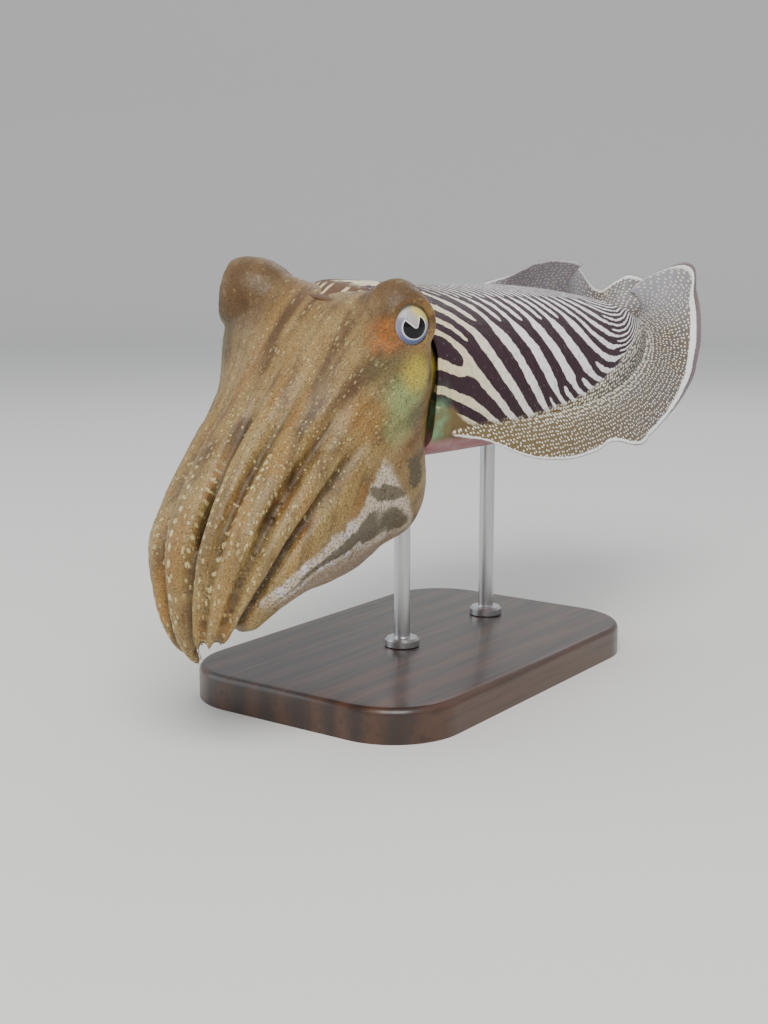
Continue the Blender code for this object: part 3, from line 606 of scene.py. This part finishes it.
def makeFin(side, material):
    hand, keys = finForm[side]
    form = finForm

    def place(s, q):
        # q runs from the root's top out to the edge and back along the underside
        fold = 1 - np.abs(2 * q - 1)
        w = clamped(fold * 1.06 - 0.06) ** 0.9
        sunk = clamped(1 - fold / 0.0566)
        middle, outward, width, lift = finPoint(hand, keys, s, w)
        step = form["step"]
        alongLine, acrossLine = (
            finPoint(hand, keys, clamped(s + a), clamped(w + b))[0]
            - finPoint(hand, keys, clamped(s - a), clamped(w - b))[0] for a, b in ((step, 0), (0, step)))
        normal = np.cross(alongLine, acrossLine) * hand
        normal /= np.linalg.norm(normal, axis=1)[:, None] + 1e-12
        thick = form["edgeThick"] + (form["rootThick"] - form["edgeThick"]) * (1 - w) ** 2.2
        ends = clamped((1 - s) / form["endClose"]) * clamped(s / form["endClose"])
        thick = thick * np.sqrt(clamped((1 - w) / form["edgeClose"]) * ends)
        topSide = np.where(q < 0.5, 1.0, -1.0)
        ripple = np.array([noise.noise(Vector((a * 46, b * 3, hand * 7.3))) for a, b in zip(s, w)])
        points = middle + normal * (topSide * thick / 2 + ripple * form["rippleMm"] * mm * w)[:, None]
        points = points - outward * (sunk * form["sunk"])[:, None]
        # the last of the root runs on to the tail's tip
        toTip = mantlePoint(1, 0) - mantlePoint(form["end"], hand * math.pi / 2)
        points = points + toTip * (ease((s - 0.92) / 0.08) * (1 - w) ** 1.5)[:, None]
        edgeMm = width * (1 - w) / mm
        run = np.linspace(0, 1, 400)
        half = finPoint(hand, keys, run, np.full(400, 0.6))[0]
        length = runAlong(half) / mm
        edgeKeys = np.array(form[f"{side}Edge"])
        marginMm, lineMm = (np.interp(s, edgeKeys[:, 0], edgeKeys[:, i]) for i in (1, 2))
        # how far the fin stands up, which sets where it is painted lit and makes its dots a little smaller
        raisedLit = clamped((np.degrees(lift) - 30) / 50) * clamped(w * 1.5)
        return points, {"alongMm": np.interp(s, run, length), "outMm": width * w / mm, "edgeMm": edgeMm,
                        "finShare": s, "topSide": (topSide + 1) / 2, "raisedLit": raisedLit,
                        "marginMm": marginMm, "lineMm": lineMm}

    bm = gridPiece(*form["grid"], place)
    return finished(f"fin{side.capitalize()}Skin", bm, material, [f"fin_{side}"])


# Head, arms and funnel, fused into one skin

skinForm = {
    "coreStart": 0.33, "coreEnd": 7.8, "coreGrid": (150, 220), "funnelGrid": (24, 40),
    # how the core draws in under the arms: first station, length, share
    "coreShrink": ((4.2, 1.4, 0.03), (5.2, 4.5, 0.12)),
    "armGrid": (150, 44), "wideArms": (3, 4), "wideArmGrid": (150, 90),
    "voxel": 0.82 * mm, "smoothRounds": 4, "bumpMm": 0.22,
    "grooveMm": 0.8, "grooveWide": 1.3 * mm, "hollowRounds": 6,
}
skinMarks = ("bundleT", "bundleTurn", "runMm", "aroundMm", "wallMm")
funnelForm = {
    "path": np.array([[15, -20, 8.5], [11.5, -30, 8], [9, -40, 7], [4.5, -50, 5.8], [-1, -58, 5]]),
    "flatness": 1.15,
}


def headMarks(t, angle, aside=0):
    core = headForm["stations"][:, :2]
    runs = runAlong(core)
    reach = headForm["stations"][:, 3:] @ np.array([0.5, 0.25, 0.25])
    turn = turnBetween(angle, 0)
    radius = np.interp(t, range(len(core)), reach)
    return {"bundleT": t, "bundleTurn": turn, "runMm": np.interp(t, range(len(core)), runs),
            "aroundMm": (turn + aside) * radius, "wallMm": np.abs(aside) * radius}


def headTube(s, q):
    angle = (q - 0.5) * 2 * math.pi + math.pi
    first, last = skinForm["coreStart"], skinForm["coreEnd"]
    t = first + s * (last - first)
    depth = 1
    for begin, length, share in skinForm["coreShrink"]:
        depth = depth - share * ease((t - begin) / length)
    depth = depth * np.sqrt(clamped((last - t) / 0.6)) * clamped(s / 0.004)
    return crownPoint(np.maximum(t, first + 0.01), angle, depth), headMarks(t, angle)


def armPoint(index, t, turn, end):
    form = armForm
    sector = (form["edges"][index] + form["edges"][index + 1]) / 2
    spread = (form["edges"][index + 1] - form["edges"][index]) / 2
    t, turn = np.broadcast_arrays(np.asarray(t, float), np.asarray(turn, float))
    run = clamped((t - form["start"]) / (end - form["start"]))
    square = form["square"][0] + form["square"][1] * run
    across, out = bowed(np.sin(turn), square), bowed(np.cos(turn), square)
    taper = 0.35 + 0.65 * np.sqrt(clamped(1 - run**14))
    half = (1 - form["core"]) / 2 * taper
    rooted = ease((form["start"] + 0.3 - t) / 1.2)
    depth = (1 + form["core"]) / 2 + out * half - 0.07 * rooted
    gap = form["gap"] * (1 + run)
    row = between(headForm["stations"], t)
    radius = (row[..., 3] * 2 + row[..., 4] + row[..., 5]) / 4 * mm
    angle = sector + across * (spread * taper - gap / (radius * depth))
    # the two dorsal arms part below the face
    side = {0: 1, 7: -1}.get(index, 0)
    middle, halfLength, width = form["slit"]
    angle = angle + side * width * bell(t - middle, halfLength) * (1 - side * across) / 2
    return crownPoint(t, angle, depth), angle, across * clamped(0.97 - depth)


def armTube(index):
    end = armForm["ends"][index]

    def place(s, q):
        t = armForm["rootStart"] + s * (end - armForm["rootStart"])
        points, angle, aside = armPoint(index, t, q * 2 * math.pi, end)
        close = np.minimum(clamped(s / 0.006), np.sqrt(clamped((1 - s) / 0.03)))
        middle = armPoint(index, t, 0 * q, end)[0] * 0.5 + armPoint(index, t, 0 * q + math.pi, end)[0] * 0.5
        return middle + (points - middle) * close[:, None], headMarks(t, angle, aside)

    return place


def funnelTube(s, q):
    form = funnelForm
    path = form["path"] * mm
    last = len(path) - 1
    middle = between(path, s * last)
    heading = between(path, np.minimum(s + 0.02, 1) * last) - between(path, np.maximum(s - 0.02, 0) * last)
    heading = unit(heading[:, :2])
    close = clamped(s / 0.01) * clamped((1 - s) / 0.004) ** 0.5
    across = np.sin(q * 2 * math.pi) * middle[:, 2] * form["flatness"] * close
    out = np.cos(q * 2 * math.pi) * middle[:, 2] * close
    x, z = middle[:, 0] - heading[:, 1] * out, middle[:, 1] + heading[:, 0] * out
    return np.stack([x, across, z], axis=-1), headMarks(0 * s + 2.5, 0 * s + math.pi * 0.98)


def turnedRoundEye(hand, profileMm, brow, into=None):
    # a solid of rotation round an eye's line of sight
    centre, look, up = eyePlace(hand)
    side = np.cross(look, up)
    keys = np.linspace(0, 1, len(profileMm))

    def place(s, q):
        ahead, radius = smoothBetween(keys, profileMm, s).T
        radius = radius * clamped(s / 0.004) * clamped((1 - s) / 0.004)
        a = q * 2 * math.pi
        if brow and hand < 0:
            over = clamped(np.cos(a - eyeForm["browLean"])) ** 2 * clamped(1 - ahead / eyeForm["browEndMm"])
            radius = radius + eyeForm["browRiseMm"] * over * clamped(s / 0.1)
        out = (np.cos(a)[:, None] * up + np.sin(a)[:, None] * side) * radius[:, None]
        points = centre + mm * (look * (ahead + brow * np.cos(a))[:, None] + out)
        return points, headMarks(0 * s + 2.2, 0 * s + hand * 50 * deg)

    return gridPiece(*eyeForm["lidGrid"], place, into)


def applied(obj, kind, **settings):
    # one modifier, made part of the mesh
    step = obj.modifiers.new(kind.lower(), kind)
    for key, value in settings.items():
        setattr(step, key, value)
    graph = bpy.context.evaluated_depsgraph_get()
    mesh = bpy.data.meshes.new_from_object(obj.evaluated_get(graph))
    obj.modifiers.clear()
    obj.data = mesh


def markFromSource(bm, source):
    # carries the named values over from the tubes that the skin was fused from
    source.faces.ensure_lookup_table()
    tree = BVHTree.FromBMesh(source)
    kept = bm.verts.layers.float
    layers = [(source.verts.layers.float[key], kept.get(key) or kept.new(key)) for key in skinMarks]
    for v in bm.verts:
        spot, _, index, _ = tree.find_nearest(v.co)
        corners = source.faces[index].verts
        weights = poly_3d_calc([c.co for c in corners], spot)
        for old, new in layers:
            v[new] = sum(w * c[old] for w, c in zip(weights, corners))


def carveGrooves(bm):
    # soft furrows between the arms, faint on the face and deep further down
    kept = bm.verts.layers.float
    for v in bm.verts:
        t, turn = v[kept["bundleT"]], v[kept["bundleTurn"]]
        depth = min(max((t - 2) / 3.5, 0), 1) * skinForm["grooveMm"] * mm
        reach = max(8, 34 - 2 * t) * mm
        within = sum(math.exp(-((turn - edge) * reach / skinForm["grooveWide"]) ** 2)
                     for edge in turnBetween(armForm["edges"][:-1], 0))
        v.co -= v.normal * depth * within


def markHollows(bm):
    # how deep each point lies in a groove, in mm, smoothed over its neighbours
    bm.verts.ensure_lookup_table()
    co = np.array([v.co for v in bm.verts])
    normals = np.array([v.normal for v in bm.verts])
    pairs = np.array([(e.verts[0].index, e.verts[1].index) for e in bm.edges])
    count = np.bincount(pairs.ravel(), minlength=len(co))

    def spread(values):
        total = np.zeros_like(values)
        for here, there in ((0, 1), (1, 0)):
            np.add.at(total, pairs[:, here], values[pairs[:, there]])
        return total / (count[:, None] if values.ndim > 1 else count)

    smooth = co
    for _ in range(skinForm["hollowRounds"]):
        smooth = spread(smooth)
    hollow = ((smooth - co) * normals).sum(1) / mm
    for _ in range(3):
        hollow = spread(hollow)
    layer = bm.verts.layers.float.new("hollow")
    for v, value in zip(bm.verts, hollow):
        v[layer] = float(value)


headLook = {
    # tanLight also paints the highlight on the crests, deep also the shade in the grooves and between the
    # arms
    "tan": (144, 116, 68), "tanLight": (168, 144, 94), "brown": (92, 67, 37),
    "deep": (50, 35, 20), "cream": (222, 203, 146), "orange": (190, 110, 42),
    "cheek": (196, 176, 70), "green": (148, 166, 106), "olive": (92, 86, 52),
    # lilac paints bluish-white highlights on the pale band of the ventral arms
    "pale": (206, 190, 168), "lilac": (226, 217, 224), "patch": (78, 68, 42),
    "lower": (160, 134, 110), "sheenMauve": (156, 130, 112), "gold": (160, 114, 52),
    "sucker": (214, 186, 172), "inner": (190, 150, 130),
    # the face: side, place, inner and outer reach in mm
    "brows": ((1, -22, 31, 17, 8, 24), (-1, -16, 29, 30.5, 6, 16)),
    # its coloured patches on both sides: place, inner and outer reach in mm, share, tone
    "patchwork": ((-22, 33, 17, 5, 15, 0.45, "brown"), (-24, 35.5, 3, 3, 12, 0.65, "olive"),
                  (-31.5, 31, -12.5, 2, 10, 0.45, "gold"), (-19.5, 39, -5, 3, 10, 0.75, "green"),
                  (-19.6, 37.5, -15, 3, 9, 0.45, "green"), (-13, 39.5, -12, 2, 7, 0.75, "olive")),
    "cheeks": ((-16.5, 40.5, 2.5), (1.5, 33.5, 1.5)),
    # dark patches on the ventral arms: station, degrees, half-sizes, and how they slant
    "patches": ((4.55, 99, 0.62, 4.5, -11), (3.35, 106, 0.35, 6, 0), (4.75, 116, 0.55, 8, -6)),
    # rows of white dots: degrees at station 7, drift a station, first and last station, size
    "rows": ((-24.5, 1.2, 5.4, 11.4, 1), (-8, 0.6, 6.6, 10.6, 0.7), (3, 0.3, 6.2, 10.8, 0.8),
             (16, 0.4, 6.2, 12.6, 1.05), (28, 0.2, 6.4, 12.6, 0.9), (42, 0, 6.4, 12, 0.8),
             (-40, 1, 6.6, 9.6, 0.7)),
}


def near(look, hand, x, y, z, inner, outer):
    # 1 round a place on the face, given in mm from the mantle's rim before the head's roll
    spot = rimPlace + rolled(x, y * hand, z, headForm["roll"]) * mm
    return look.fall(look.distance(spot), inner * mm, outer * mm)


def dashes(look, along, around, share, size):
    # pale dashes, each with its own size, some cells left without one
    gap = look.cells(1, 0.9, look.vector(along, around))
    pick = Wire(look, gap.socket.node.outputs["Color"])
    own = look.rise(pick, 0.80 - share, 1.05 - share) * size
    return look.fall(gap - own, -0.05, 0.03)


def headSkinLook():
    look = Look("headSkinLook", {**skinBase, "Coat Weight": 0.06, "Coat Roughness": 0.3}, headLook)
    rise, fall, blend, grain = look.rise, look.fall, look.blend, look.grain
    paint, most, only = look.paint, look.most, look.only
    t, turn, run, around, wallMm, hollow = look.marks(*skinMarks, "hollow")
    degrees = turn * (180 / math.pi)
    reach = only("ABSOLUTE", degrees)
    onArms = rise(t, 3.2, 5.4)
    # streaks that follow the arms over clouds of brown and tan
    streak = grain(1, 3, look.vector(run * 0.035, around * 0.22))
    cloud = grain(70, 3)
    pepper, fine = grain(1300), grain(2600, 1)
    look.colour = blend(rise(streak, 0.36, 0.62), "brown", "tan")
    paint(rise(cloud, 0.42, 0.70) * 0.6, "tanLight")
    gold = rise(grain(1, 1, look.vector(run * 0.03 + 9, around * 0.14)), 0.52, 0.66)
    paint(gold * (0.25 + onArms * 0.3), "gold")
    # brown brows, and a painted mauve sheen that pales the middle of the face near the mantle
    for place in headLook["brows"]:
        paint(near(look, *place) * 0.85, "brown")
    paint(fall(reach, 8, 30) * fall(t, 1, 2.6) * 0.75, "sheenMauve")
    for hand in (-1, 1):
        for *place, share, name in headLook["patchwork"]:
            paint(near(look, hand, *place) * share, name)
        for place in headLook["cheeks"]:
            cheek = near(look, hand, *place, 2.5, 8.5) * (0.40 + grain(240) * 0.8)
            paint(only("MINIMUM", cheek, 0.9), "cheek")
    warm = near(look, -1, -25, 31.5, 13.5, 2, 8.5) * (0.25 + 0.75 * rise(pepper, 0.42, 0.56))
    paint(warm * rise(grain(300), 0.25, 0.55), "orange")
    # painted shade in the grooves and on the arms' side walls where they meet, a painted highlight on the
    # crests
    grooveShade = rise(hollow, 0.03, 0.40)
    crest = rise(hollow * -1, 0.02, 0.20)
    wall = rise(wallMm, 0.6, 2.4)
    paint(grooveShade * (0.25 + onArms * 0.35), "deep")
    paint(wall * 0.6, "deep")
    paint(crest * onArms * 0.35, "tanLight")
    # ventral arms: a pale band, dark patches and a dark stripe, pale again below
    wobble = (grain(95, 3) - 0.5) * 16 + (grain(420) - 0.5) * 5
    lowered = reach + wobble
    past, before = most(t - 6, 0), most(5.3 - t, 0)
    edge = 92 - only("POWER", past, 1.6) * 2 - before * 8
    ventral = rise(lowered - edge, -1.5, 2.5) * rise(t + wobble * 0.03, 3.85, 4.15)
    ventral = ventral * fall(t + wobble * 0.05, 9.4, 10.6)
    stripe = 108 - (t - 5.5) * 3.8
    halfStripe = most(9.5 - (t - 5.5) * 3, 3)
    under = rise(lowered - stripe - halfStripe, 0, 9)
    # the lilac patches on the pale band are painted bluish-white highlights
    pale = blend(rise(grain(300), 0.46, 0.66) * rise(t, 5.5, 7), "pale", "lilac")
    pale = blend(under * 0.75, pale, "lower")
    pale = blend(rise(pepper, 0.44, 0.66) * 0.5, pale, "patch")
    mark = fall(only("ABSOLUTE", lowered - stripe) - halfStripe, -1.5, 1.5)
    mark = mark * rise(t, 4.9, 5.5) * (1 - rise(t, 8, 10) * 0.6)
    shade = 0
    for station, place, halfLength, halfWidth, slant in headLook["patches"]:
        a = (t - station + wobble * 0.01) / halfLength
        b = (lowered - place - (t - station) * slant) / halfWidth
        shade = most(shade, fall(a * a + b * b, 0.6, 1.5))
    paint(ventral, blend(mark * 0.9, pale, "patch"))
    paint(shade * 0.85, "patch")
    # pale dashes in rows along the arms, thinner on the face and round the eyes
    onTop = fall(reach, 66, 84)
    share = 0.20 + crest * 0.22 + rise(grain(130, 1), 0.40, 0.62) * 0.16
    clear = most(near(look, 1, -22, 31, 17, 12, 24) * 0.85, near(look, -1, -18, 32, 17, 11, 19))
    spots = dashes(look, run / 2.5, around / 1.7, share, 0.24) * onTop * rise(t, 1, 1.7) * (1 - clear)
    paint(spots * (0.22 + onArms * 0.13 + 0.35 * fine) * (1 - wall), "cream")
    small = dashes(look, run / 1.5, around / 1.1, 0.24, 0.22) * rise(t, 0.9, 1.6) * (1 - ventral)
    small = small * (1 - clear * 0.7)
    paint(small * 0.30, "cream")
    # rows of white dots down the arms
    swing = (grain(60, 1) - 0.5) * 2.5
    for first, drift, begin, end, size in headLook["rows"]:
        beat = (only("FRACT", run / 3.3 + first * 0.37) - 0.5) * 3.3
        aside = (degrees - first - (t - 7) * drift) * 0.38 + swing
        spot = only("SQRT", beat * beat * 0.55 + aside * aside)
        row = fall(spot - grain(260, 1) * 0.9 * size, -0.15, 0.25)
        row = row * rise(t, begin, begin + 1.2) * fall(t, end - 0.6, end) * (1 - wall)
        paint(row * 0.9, "cream")
    # chromatophores: a fine dark pepper
    paint(rise(pepper, 0.50, 0.68) * 0.40, "deep")
    paint(rise(fine, 0.48, 0.62) * 0.42 * (1 - ventral * 0.5), "deep")
    relief = pepper * 0.35 + spots * 0.5 + grain(260, 3) * 0.7
    return look.done(0.46 + (pepper - 0.5) * 0.2, relief, 0.0005, 0.8)


def makeHead(material):
    source = bmesh.new()
    for key in skinMarks:
        source.verts.layers.float.new(key)
    gridPiece(*skinForm["coreGrid"], headTube, source)
    gridPiece(*skinForm["funnelGrid"], funnelTube, source)
    for index in range(8):
        grid = skinForm["wideArmGrid" if index in skinForm["wideArms"] else "armGrid"]
        gridPiece(*grid, armTube(index), source)
    marked = source.copy()
    for hand, key in ((-1, "lidProfileMm"), (1, "farLidProfileMm")):
        turnedRoundEye(hand, eyeForm[key], eyeForm["brow"], source)
    shell = asObject("headShell", source.copy())
    applied(shell, "REMESH", mode="VOXEL", voxel_size=skinForm["voxel"])
    print("fused skin", len(shell.data.polygons))
    ball = [(eyeForm["socketMm"] * math.cos(a), eyeForm["socketMm"] * math.sin(a))
            for a in eyeForm["socketTurns"]]
    for hand in (1, -1):
        cutter = asObject("socket", turnedRoundEye(hand, ball + eyeForm["openingMm"], 0))
        applied(shell, "BOOLEAN", operation="DIFFERENCE", object=cutter)
        bpy.data.objects.remove(cutter)
    bm = bmesh.new()
    bm.from_mesh(shell.data)
    bpy.data.objects.remove(shell)
    for _ in range(skinForm["smoothRounds"]):
        bmesh.ops.smooth_vert(bm, verts=bm.verts, factor=0.5,
                              use_axis_x=True, use_axis_y=True, use_axis_z=True)
    bm.normal_update()
    for v in bm.verts:
        lump = noise.noise(v.co * 90) + 0.5 * noise.noise(v.co * 320)
        v.co += v.normal * lump * skinForm["bumpMm"] * mm
    markFromSource(bm, marked)
    carveGrooves(bm)
    markHollows(bm)
    source.free()
    marked.free()
    names = ["head", "funnel"] + [f"arm_{name}_{part}" for name in armForm["names"]
                                  for part in ("base", "middle", "tip")]
    return finished("headSkin", bm, material, names)


# Suckers

suckerForm = {
    "radius": 1.25 * mm, "pitch": 0.20, "taper": 0.72, "rows": (-0.62, -0.22, 0.22, 0.62),
    # half outline of a cup, from the middle of its hollow over the rim to its stalk
    "outline": ((0, -0.05), (0.5, 0.05), (0.72, 0.45), (1, 0.32), (0.78, -0.45), (0, -0.55)),
}


def makeSuckers(material):
    cup = lathed(suckerForm["outline"], 8, 0.001)
    bmesh.ops.recalc_face_normals(cup, faces=cup.faces)
    template = bpy.data.meshes.new("suckerCup")
    cup.to_mesh(template)
    cup.free()
    bm = bmesh.new()
    for index, end in enumerate(armForm["ends"]):
        first, last = armForm["start"] + 0.2, end - 0.25
        count = round((last - first) / suckerForm["pitch"])
        for k in range(count):
            for place, turnOff in enumerate(suckerForm["rows"]):
                t = first + (last - first) * (k + 0.25 + 0.5 * (place % 2)) / count
                run = (t - armForm["start"]) / (end - armForm["start"])
                radius = suckerForm["radius"] * (1 - suckerForm["taper"] * run)
                radius *= 0.9 + 0.1 * math.sin(5.1 * k + place)
                turn = math.pi + turnOff
                here = armPoint(index, t, turn, end)[0]
                ahead = armPoint(index, t + 0.02, turn, end)[0] - here
                across = armPoint(index, t, turn + 0.05, end)[0] - armPoint(index, t, turn - 0.05, end)[0]
                normal = np.cross(across, ahead)
                if np.dot(normal, crownPoint(t, 0, 0) - here) < 0:
                    normal = -normal
                facing = Vector(normal).to_track_quat("Z", "X").to_matrix().to_4x4()
                shift = Matrix.Translation(Vector(here + rimPlace)) @ facing @ Matrix.Scale(radius, 4)
                before = len(bm.verts)
                bm.from_mesh(template)
                bm.verts.ensure_lookup_table()
                bmesh.ops.transform(bm, matrix=shift, verts=bm.verts[before:])
    bpy.data.meshes.remove(template)
    return finished("suckers", bm, material)


def suckerLook():
    look = Look("suckerLook", {**skinBase, "Coat Weight": 0.2}, headLook)
    look.colour = look.blend(look.grain(500), "sucker", "inner")
    return look.done(0.35 + look.grain(900) * 0.2, look.grain(1500), 0.0002)


# Eyes

irisLook = {
    "silver": (176, 170, 168), "lilac": (122, 114, 142), "blue": (112, 132, 184),
    "yellow": (214, 198, 92), "pale": (206, 206, 216), "black": (6, 6, 10),
    "outline": (236, 232, 230), "rim": (140, 128, 116),
    # the oval that the pupil is cut from: place rearwards and up, half-sizes
    "pupilMm": (0.1, -0.69, 4.1, 3.66),
}


def eyeLook():
    look = Look("eyeLook", {"Coat Weight": 0.45, "Coat Roughness": 0.04, "Specular IOR Level": 0.12},
                irisLook)
    rise, fall = look.rise, look.fall
    x, y = look.marks("eyeRearMm", "eyeUpMm")
    radius = look.only("SQRT", x * x + y * y)
    # the pupil is an oval with a slanting notch cut from above, which leaves two horns
    across, up, halfWidth, halfHeight = irisLook["pupilMm"]
    px, py = (x - across) / halfWidth, (y - up) / halfHeight
    oval = (1 - look.only("SQRT", px * px + py * py)) * 3.85
    slope = (y + 0.8 + (x + 0.6) * 0.8) * 0.78
    side = (0.9 + (y + 1.1) * 0.3 - x) * 0.96
    notch = look.only("SMOOTH_MIN", look.only("SMOOTH_MIN", slope, y + 1.1, 0.6), side, 0.8)
    pupil = look.only("SMOOTH_MIN", oval, notch * -1, 0.5)
    inside = rise(pupil, -0.06, 0.06)
    outline = rise(pupil, -0.50, -0.28) * (1 - inside)
    swirl = look.grain(900, 3)
    look.colour = look.blend(rise(y + (swirl - 0.5) * 2, -3.2, 0.5), "blue", "silver")
    look.paint(fall(x, -4.4, -1.6) * fall(y, 1, 3.6) * 0.8, "lilac")
    gold = rise(x + y * 0.6 + (swirl - 0.5) * 1.5, 0.8, 3.6) * rise(y, 0, 2)
    look.paint(gold * 0.85, "yellow")
    look.paint(rise(radius, 5.4, 6.4) * 0.7, "pale")
    look.paint(rise(radius, 7.2, 8.2), "rim")
    look.paint(outline * 0.9, "outline")
    look.paint(inside, "black")
    return look.done(0.30 - inside * 0.2, swirl * (1 - inside), 0.0001, 0.5)


def makeEye(side, material):
    hand = 1 if side == "right" else -1
    centre, look, up = eyePlace(hand)
    rear = np.cross(look, up)
    rear = rear if rear[0] > 0 else -rear
    bm = bmesh.new()
    bmesh.ops.create_uvsphere(bm, u_segments=96, v_segments=64, radius=eyeForm["radius"])
    facing = Vector(look).to_track_quat("Z", "Y").to_matrix().to_4x4()
    bmesh.ops.transform(bm, matrix=Matrix.Translation(Vector(centre + rimPlace)) @ facing, verts=bm.verts)
    rearLayer, upLayer = (bm.verts.layers.float.new(key) for key in ("eyeRearMm", "eyeUpMm"))
    for v in bm.verts:
        away = np.array(v.co) - centre - rimPlace
        ahead = away @ look
        scale = 1 / mm if ahead > 0 else 20 / mm
        v[rearLayer] = away @ rear * scale
        v[upLayer] = away @ up * scale
    return finished(f"eye{side.capitalize()}Ball", bm, material, [f"eye_{side}"])


# Stand

standForm = {"corner": 26 * mm, "edge": 2.5 * mm, "collarRadius": 6.5 * mm, "collarHeight": 3 * mm,
             "chamfer": 0.8 * mm}


def woodLook():
    look = Look("woodLook", {"Coat Weight": 0.45, "Coat Roughness": 0.18},
                {"light": (74, 46, 30), "dark": (44, 27, 19), "pore": (26, 16, 12)})
    at = look.stretched(1, 11, 6)
    rings = look.node("ShaderNodeTexWave", {"wave_type": "BANDS", "bands_direction": "Y"},
                      {"Vector": at, "Scale": 2.2, "Distortion": 5, "Detail": 3, "Detail Scale": 1.4},
                      out="Fac")
    fibre = look.grain(420, 3, look.stretched(0.06, 1, 1))
    look.colour = look.blend(rings, "light", "dark")
    look.paint(look.rise(fibre, 0.45, 0.75) * 0.5, "pore")
    return look.done(0.34 + fibre * 0.15, fibre, 0.0002, 0.5)


def steelLook():
    look = Look("steelLook", {"Base Color": (0.55, 0.55, 0.56, 1), "Metallic": 1})
    rub = look.grain(900, 3, look.stretched(1, 1, 0.02))
    return look.done(0.24 + rub * 0.16, rub, 0.00005, 0.4)


def makeStand():
    low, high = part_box("stand_base")
    size = high - low
    bm = bmesh.new()
    bmesh.ops.create_cube(bm, size=1)
    bmesh.ops.scale(bm, verts=bm.verts, vec=size)
    bmesh.ops.translate(bm, verts=bm.verts, vec=(low + high) / 2)
    upright = [e for e in bm.edges if abs(e.verts[0].co.z - e.verts[1].co.z) > size.z / 2]
    bmesh.ops.bevel(bm, geom=upright, offset=standForm["corner"], segments=24, profile=0.5,
                    affect="EDGES", material=-1)
    rim = [e for e in bm.edges if min(v.co.z for v in e.verts) > high.z - 0.1 * mm
           and len(e.link_faces) == 2 and e.calc_face_angle() > 1]
    bmesh.ops.bevel(bm, geom=rim, offset=standForm["edge"], segments=6, profile=0.5,
                    affect="EDGES", material=-1)
    base = finished("standBase", bm, woodLook(), ["stand_base"])
    base.data.set_sharp_from_angle(angle=40 * deg)
    steel = steelLook()
    for end in ("front", "back"):
        low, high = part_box(f"stand_rod_{end}")
        x, radius = (low.x + high.x) / 2, (high.x - low.x) / 2
        collar, height = standForm["collarRadius"], standForm["collarHeight"]
        foot, chamfer = low.z + height, standForm["chamfer"]
        bm = lathed([(0, low.z), (collar, low.z), (collar, foot - chamfer), (collar - chamfer, foot),
                     (radius + 0.3 * mm, foot), (radius, foot + 0.4 * mm), (radius, high.z), (0, high.z)], 64)
        bmesh.ops.translate(bm, verts=bm.verts, vec=(x, (low.y + high.y) / 2, 0))
        bmesh.ops.recalc_face_normals(bm, faces=bm.faces)
        rod = finished(f"standRod{end.capitalize()}", bm, steel, [f"stand_rod_{end}"])
        rod.data.set_sharp_from_angle(angle=35 * deg)


# Camera, floor and light

stageForm = {
    "azimuth": -54.5, "elevation": 10, "lens": 49.2, "cameraPlace": (-0.43089, -0.29044, 0.15276),
    "floorRadius": 3, "wallHeight": 0.9, "wallBend": 0.6, "floorColour": tone(226, 226, 222),
    "sky": (0.92, 0.95, 1, 1), "skyStrength": 0.65,
    # lights: place, watts, width, colour
    "lights": {"keyLight": ((-0.75, -0.55, 1.15), 19, 0.9, (1, 0.98, 0.94)),
               "fillLight": ((-0.6, 0.9, 0.5), 4, 0.9, (0.9, 0.95, 1)),
               "backLight": ((0.9, 0.3, 0.9), 2.5, 0.8, (1, 1, 1))},
    "aim": (0, 0, 0.1),
}


def makeStage():
    form = stageForm
    reach, wall, bend = form["floorRadius"], form["wallHeight"], form["wallBend"]
    profile = [(0, 0), (reach - bend, 0)]
    profile += [(reach - bend + bend * math.sin(a), bend - bend * math.cos(a))
                for a in np.radians(np.linspace(6, 90, 15))]
    profile += [(reach, wall)]
    floor = asObject("floorSweep", lathed(profile, 96))
    floor.data.shade_smooth()
    look = Look("floorLook", {"Base Color": form["floorColour"], "Roughness": 0.8, "Specular IOR Level": 0.2})
    floor.data.materials.append(look.material)
    a, e = math.radians(form["azimuth"]), math.radians(form["elevation"])
    back = Vector((math.sin(a) * math.cos(e), -math.cos(a) * math.cos(e), math.sin(e)))
    camera = linked("camera", bpy.data.cameras.new("camera"))
    camera.data.lens, camera.data.sensor_width, camera.data.clip_start = form["lens"], 36, 0.01
    camera.location = form["cameraPlace"]
    camera.rotation_euler = back.to_track_quat("Z", "Y").to_euler()
    bpy.context.scene.camera = camera
    world = bpy.data.worlds.new("studio")
    world.use_nodes = True
    sky = world.node_tree.nodes["Background"].inputs
    sky["Color"].default_value, sky["Strength"].default_value = form["sky"], form["skyStrength"]
    bpy.context.scene.world = world
    for name, (place, power, size, colour) in form["lights"].items():
        lamp = bpy.data.lights.new(name, "AREA")
        lamp.energy, lamp.size, lamp.color = power, size, colour
        light = linked(name, lamp)
        light.location = place
        light.rotation_euler = (Vector(place) - Vector(form["aim"])).to_track_quat("Z", "Y").to_euler()


makeStage()
makeMantle()
finLook = finSkinLook()
makeFin("left", finLook)
makeFin("right", finLook)
makeHead(headSkinLook())
makeSuckers(suckerLook())
irisMaterial = eyeLook()
makeEye("left", irisMaterial)
makeEye("right", irisMaterial)
makeStand()
